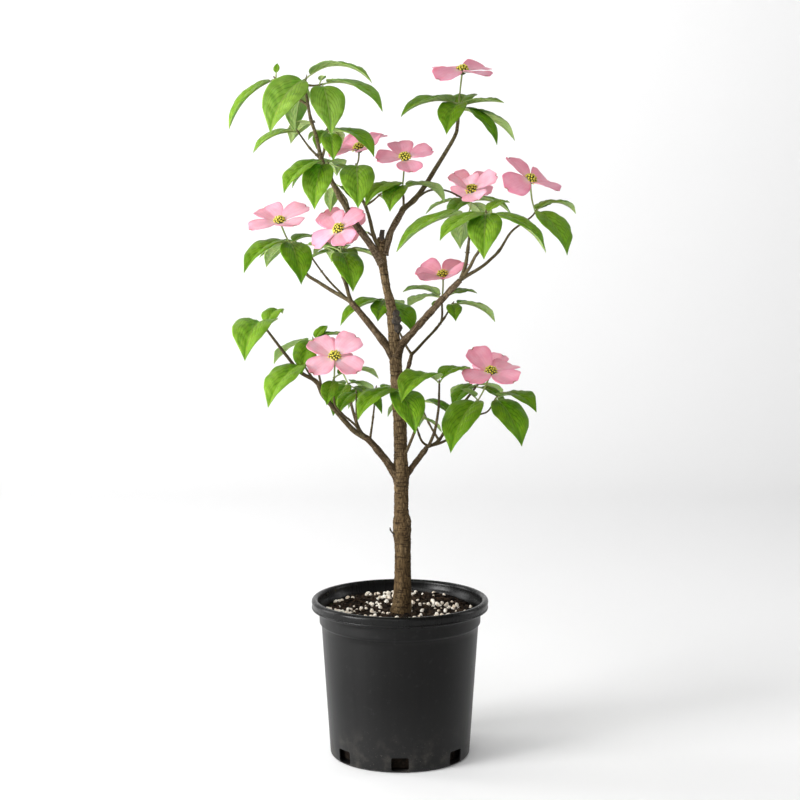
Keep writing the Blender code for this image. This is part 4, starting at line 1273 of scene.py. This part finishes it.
def arc(centre_radius, centre_height, radius, start, end, steps):
    """Points (radius, height) on a round stretch of a profile, between two angles in degrees."""
    turns = np.radians(np.linspace(start, end, steps + 1))
    return [(centre_radius + radius * math.cos(a), centre_height + radius * math.sin(a)) for a in turns]


def straight(start, end, steps):
    """Evenly spaced points of a profile after its start, up to its end."""
    start, end = np.array(start), np.array(end)
    return [tuple(start + (end - start) * k / steps) for k in range(1, steps + 1)]


def wall_radius(height):
    """The outer radius of the pot's plain body, which tapers to the base."""
    share = (height - BASE_ROUNDING) / (COLLAR_BOTTOM - BASE_ROUNDING)
    return BASE_RADIUS + (WAIST_RADIUS - BASE_RADIUS) * share


def make_pot():
    """The pot: rounded foot, tapering body, stepped collar, rolled rim with its bead, and drain holes."""
    lip = (RIM_RADIUS - MOUTH_RADIUS) / 2
    lip_bottom = POT_HEIGHT - RIM_DEPTH
    profile = [(0, 1.2), (BASE_RADIUS - 26, 1.2), (BASE_RADIUS - 24, 0.0)]
    profile += arc(BASE_RADIUS - BASE_ROUNDING, BASE_ROUNDING, BASE_ROUNDING, -90, -4, 8)
    profile += straight(profile[-1], (WAIST_RADIUS, COLLAR_BOTTOM - 2), 24)
    profile += [(WAIST_RADIUS + 0.7, COLLAR_BOTTOM - 1.2), (COLLAR_RADIUS - 1.6, COLLAR_BOTTOM + 0.2)]
    profile += arc(COLLAR_RADIUS - 2.2, COLLAR_BOTTOM + 2.2, 1.6, -40, 0, 3)
    profile += straight(profile[-1], (COLLAR_RADIUS, COLLAR_TOP), 4)
    profile += [(COLLAR_RADIUS + 1.5, lip_bottom - 2.5), (RIM_RADIUS - 5, lip_bottom - 0.6)]
    profile += arc(RIM_RADIUS - 2.0, lip_bottom + 1.4, 1.9, -80, 60, 6)
    profile += [(RIM_RADIUS - 1.0, lip_bottom + 4.2)]
    profile += arc(MOUTH_RADIUS + lip, POT_HEIGHT - lip, lip, 0, 180, 14)
    profile += [(MOUTH_RADIUS - 0.1, lip_bottom + 3), (MOUTH_RADIUS - 1.2, lip_bottom + 1.2)]
    profile += [(COLLAR_RADIUS - WALL, COLLAR_TOP + 1), (COLLAR_RADIUS - WALL - 0.6, COLLAR_BOTTOM + 3)]
    profile += [(WAIST_RADIUS - WALL, COLLAR_BOTTOM - 3), (wall_radius(BASE_ROUNDING) - WALL, FLOOR + 3)]
    profile += [(wall_radius(BASE_ROUNDING) - WALL - 3, FLOOR), (0, FLOOR)]
    pot = turned_shape("pot_body", profile, 240, scale=MM)
    for k in range(DRAIN_HOLES):
        cut_hole(pot, -90 + 360 * k / DRAIN_HOLES)
    bevel = pot.modifiers.new("soft_edges", "BEVEL")
    bevel.width, bevel.segments, bevel.limit_method, bevel.angle_limit = 0.0004, 2, "ANGLE", math.radians(62)
    settle(pot)
    pot.data.shade_smooth()
    pot.data.set_sharp_from_angle(angle=math.radians(38))
    pot.data.materials.append(PLASTIC)
    place(pot, "black_plastic", "pot")


def cut_hole(pot, heading):
    """Cuts one round-cornered drain hole through the foot of the wall."""
    out, side = direction(heading), direction(heading + 90)
    across = DRAIN_WIDTH / 2 - DRAIN_CORNER
    low, high = DRAIN_BOTTOM + DRAIN_CORNER, DRAIN_TOP - DRAIN_CORNER
    outline = []
    for x, z, start in ((across, high, 0), (-across, high, 90), (-across, low, 180), (across, low, 270)):
        outline += arc(x, z, DRAIN_CORNER, start, start + 90, 5)
    points = [(out * radius + side * x + np.array((0, 0, z))) * MM
              for radius in (BASE_RADIUS - 14, BASE_RADIUS + 12) for x, z in outline]
    count = len(outline)
    ends = [tuple(range(count))[::-1], tuple(range(count, 2 * count))]
    cutter = mesh_object("hole_cutter", points, ends + quads(1, count))
    boolean = pot.modifiers.new("hole", "BOOLEAN")
    boolean.operation, boolean.object = "DIFFERENCE", cutter
    settle(pot)
    bpy.data.objects.remove(cutter)


def soil_height(x, y):
    """The lie of the potting mix: low mounds, raised a little round the trunk and banked at the back."""
    at = Vector((x, y, 0.0)) * 0.018
    mounds = 2.2 * noise.noise(at * 1.6) + 1.3 * noise.noise(at * 5.0 + Vector((3, 1, 0)))
    banked = SOIL_BANK * float(smoothstep(20, 105, y))
    return SOIL_TOP - 1.0 + mounds + banked + 1.6 * math.exp(-(x * x + (y + 10) ** 2) / 900)


def make_soil():
    """The potting mix: a lumpy top, and sides that fill the pot behind its drain holes."""
    inside = COLLAR_RADIUS - WALL - GAP - 0.7
    foot = wall_radius(BASE_ROUNDING) - WALL - GAP
    drained, shrunk = SHRUNK_TOP, SHRUNK
    profile = [(0, FLOOR + GAP), (foot - shrunk - 3, FLOOR + GAP), (foot - shrunk, FLOOR + 4)]
    profile += [(wall_radius(drained) - WALL - GAP - shrunk, drained),
                (wall_radius(drained + shrunk) - WALL - GAP, drained + shrunk)]
    profile += straight(profile[-1], (WAIST_RADIUS - WALL - GAP, COLLAR_BOTTOM - 4), 10)
    profile += [(inside, SOIL_TOP - 4)]
    profile += [(inside * (1 - k / 90), SOIL_TOP) for k in range(90)] + [(0, SOIL_TOP)]
    soil = turned_shape("potting_mix_bed", profile, 200, scale=MM)
    for vert in soil.data.vertices:
        if vert.co.z > (SOIL_TOP - 2) * MM:
            x, y = vert.co.x / MM, vert.co.y / MM
            fine = 1.1 * noise.noise(Vector((x, y, 0)) * 0.22) + 0.6 * noise.noise(Vector((x, y, 5)) * 0.55)
            vert.co.z = (soil_height(x, y) + fine) * MM
    soil.data.shade_smooth()
    soil.data.materials.append(SOIL)
    place(soil, "potting_mix", "soil")


def strewn_surface(name):
    """A disc that follows the top of the soil, for chips, crumbs and grains to lie on."""
    rings, sides, reach = 24, 72, COLLAR_RADIUS - WALL - 6
    points = [(0, 0, soil_height(0, 0) * MM)]
    for k in range(1, rings + 1):
        for i in range(sides):
            radius, turn = reach * k / rings, 2 * math.pi * i / sides
            x, y = radius * math.cos(turn), radius * math.sin(turn)
            points.append((x * MM, y * MM, soil_height(x, y) * MM))
    middle = [(0, 1 + i, 1 + (i + 1) % sides) for i in range(sides)]
    return mesh_object(name, points, middle + quads(rings - 1, sides, 1, True))


def strew(name, shapes, finish, seed, density, clumps=0.0, **grain):
    """One joined piece of grains, from several shapes."""
    made = []
    for k, shape in enumerate(shapes):
        made.append(grow(f"{name}_{k}", strewn_surface(name + "_ground"), SCATTER, shape=shape, seed=seed + k,
                         density=density / len(shapes), clumps=clumps, material=finish, **grain))
        bpy.data.objects.remove(shape)
    place(join(name, made), "potting_mix")


# Wood and foliage.

def bark_skin(name, paths, finish, sides, relief, plate):
    return grow(name, path_mesh(name + "_lines", paths), LIMBS, sides=sides, relief=relief, plate=plate,
                material=finish)


def make_wood():
    """The trunk's skin, then the cut leader, the dead spur and the old wound's lumps, then the boughs."""
    rows = smooth_path(TRUNK, 1.2)
    rows[:, 2] = np.maximum(rows[:, 2], TRUNK[0][2])
    trunk = (rows[:, :3], rows[:, 3], 1.0, 0.0)
    place(bark_skin("trunk_skin", [trunk], BARK, 96, 0.0011, 3.4), "bark", "trunk")
    stubs = [limb_path(limb, 1.2, 0.9, 5.0 + i) for i, limb in enumerate((CUT_STUB, SPUR))]
    dead = [bark_skin("cut_stub", stubs, WOUND, 36, 0.0009, 2.6)]
    for i, (centre, radius, seed) in enumerate(KNOTS):
        lump = rough_stone(f"wound_lump_{i}", seed, (2 * radius * MM,) * 3, 5, 0.34)
        lump.data.transform(Matrix.Translation(Vector(centre) * MM))
        lump.data.materials.append(WOUND)
        lump.data.shade_smooth()
        dead.append(lump)
    place(join("old_wound_and_stubs", dead), "bark")
    vary = random.Random(SEED)
    boughs = [limb_path(limb, 1.4, 0.85, 1.0 + i, 0.5, bough_swellings(limb, vary))
              for i, limb in enumerate(BOUGHS.values())]
    place(bark_skin("boughs_skin", boughs, LIMB_BARK, 40, 0.0008, 2.6), "bark", *BOUGHS)


def make_blades(name, blades, shape, nodes=(), **look):
    place(grow(name, blade_points(name + "_points", blades), BLADES, blade=shape, **look), "foliage", *nodes)


def make_copies(name, rows, shape, body, tip, vary, longest=(1.0, 1.0)):
    """A copy of the shape for each row. The shape is used up."""
    points = copy_points(name + "_points", rows, vary, longest)
    place(grow(name, points, COPIES, shape=shape, body_material=body, tip_material=tip), "foliage")
    bpy.data.objects.remove(shape)


def make_foliage():
    """Every mass's twigs, leaves and blossom, each kind joined apart."""
    masses = {name: Mass(name) for name in MASSES}
    leaf, bract = leaf_shape(), bract_shape()

    def all_of(kind, names=MASSES):
        return [item for name in names for item in getattr(masses[name], kind)]

    for name, members in LEAF_GROUPS.items():
        make_blades(name, all_of("leaves", members), leaf, members, ripple=0.010, ripple_scale=3.2,
                    arch=LEAF_ARCH, underside=LEAF_UNDERSIDE, mark=MIDRIB, **LEAF_TINTS)
    place(bark_skin("twigs", all_of("stems"), TWIG_BARK, 16, 0.0005, 2.2), "bark")
    place(bark_skin("bloom_stalks", all_of("green_twigs"), STALK, 12, 0.0002, 3.0), "foliage")
    make_blades("bracts", all_of("bracts"), bract, ripple=0.009, ripple_scale=3.0, underside=BRACT_BACK,
                mark=NOTCH, **BRACT_TINTS)
    vary = random.Random(SEED)
    make_copies("florets", all_of("florets"), floret_shape(), FLORET_CUP, FLORET, vary, (0.9, 1.3))
    make_copies("twig_buds", all_of("buds"), bud_shape(), BUD, BUD, vary, (1.0, 1.3))
    make_copies("receptacles", all_of("domes"), receptacle_shape(), FLORET_CUP, FLORET_CUP,
                random.Random(SEED))
    for shape in (leaf, bract):
        bpy.data.objects.remove(shape)


# The studio.
CAMERA_PLACE = (0.0, -3.086, 0.955)
CAMERA_PITCH = 7.6
CAMERA_LENS = 93.8
SENSOR_WIDTH = 36.0
AIR_LIGHT = 0.3

# Each lamp: name, place, the point that it faces, width, height and power.
LAMPS = (
    ("key_light", (-2.2, -2.2, 3.0), (0, 0, 0.4), 1.6, 1.6, 40),
    ("left_screen", (-2.3, -1.3, 0.7), (0, 0, 0.3), 1.2, 1.3, 92),
    ("left_edge", (-2.0, 0.5, 0.8), (0, 0, 0.5), 0.8, 1.6, 22),
    ("right_edge", (1.9, 0.3, 0.8), (0, 0, 0.5), 0.5, 1.6, 8),
    ("front_screen", (-0.6, -4.2, 2.6), (0, 0, 0.6), 2.4, 1.2, 55),
    ("backdrop_light", (-1.2, 1.4, 2.4), (0.0, 3.4, 0.9), 1.6, 1.6, 22),
)


def make_studio():
    """A pale sweep, the lamps, a little light from all round, and the camera."""
    steps = [(-6.0, 0.0), (2.2, 0.0)]
    steps += [(2.2 + 1.2 * math.sin(a), 1.2 - 1.2 * math.cos(a)) for a in np.radians(np.arange(8, 91, 8))]
    steps += [(3.4, 1.3), (3.4, 5.0)]
    points = [(x, y, z) for y, z in steps for x in (-6.0, 6.0)]
    faces = [(2 * k, 2 * k + 1, 2 * k + 3, 2 * k + 2) for k in range(len(steps) - 1)]
    sweep = mesh_object("studio_sweep", points, faces)
    sweep.data.shade_smooth()
    sweep.data.materials.append(new_finish("studio_paper", (0.93, 0.93, 0.93), 0.9))
    for name, at, towards, width, height, power in LAMPS:
        light = bpy.data.lights.new(name, "AREA")
        light.shape, light.size, light.size_y, light.energy = "RECTANGLE", width, height, power
        lamp = add_object(name, light)
        lamp.location = at
        lamp.rotation_euler = (Vector(towards) - Vector(at)).to_track_quat("-Z", "Y").to_euler()
    world = bpy.data.worlds.new("studio_air")
    world.use_nodes = True
    air = world.node_tree.nodes["Background"].inputs
    air[0].default_value, air[1].default_value = (1.0, 1.0, 1.0, 1.0), AIR_LIGHT
    lens = bpy.data.cameras.new("camera")
    lens.lens, lens.sensor_width = CAMERA_LENS, SENSOR_WIDTH
    camera = add_object("camera", lens)
    camera.location = CAMERA_PLACE
    camera.rotation_euler = (math.radians(90 - CAMERA_PITCH), 0, 0)
    scene = bpy.context.scene
    scene.world, scene.camera = world, camera
    scene.view_settings.view_transform = "Standard"


make_pot()
make_soil()
strew("bark_chips", [bark_chip(f"chip_{k}", k) for k in range(3)],
      CHIPS, 3, 34000, smallest=0.006, largest=0.015, tilt=0.5, lift=0.06)
strew("soil_crumbs", [rough_stone(f"crumb_{k}", k, (1, 0.8, 0.7), 2, 0.5) for k in range(2)],
      CRUMBS, 9, 26000, smallest=0.002, largest=0.0045, tilt=1.5, lift=0.15)
strew("white_grains", [rough_stone(f"grain_{k}", k + 5, (1, 0.85, 0.75), 2, 0.4) for k in range(3)],
      PERLITE, 20, 5600, 0.8, smallest=0.0042, largest=0.0084, tilt=1.5, lift=0.34)
make_wood()
make_foliage()
make_studio()
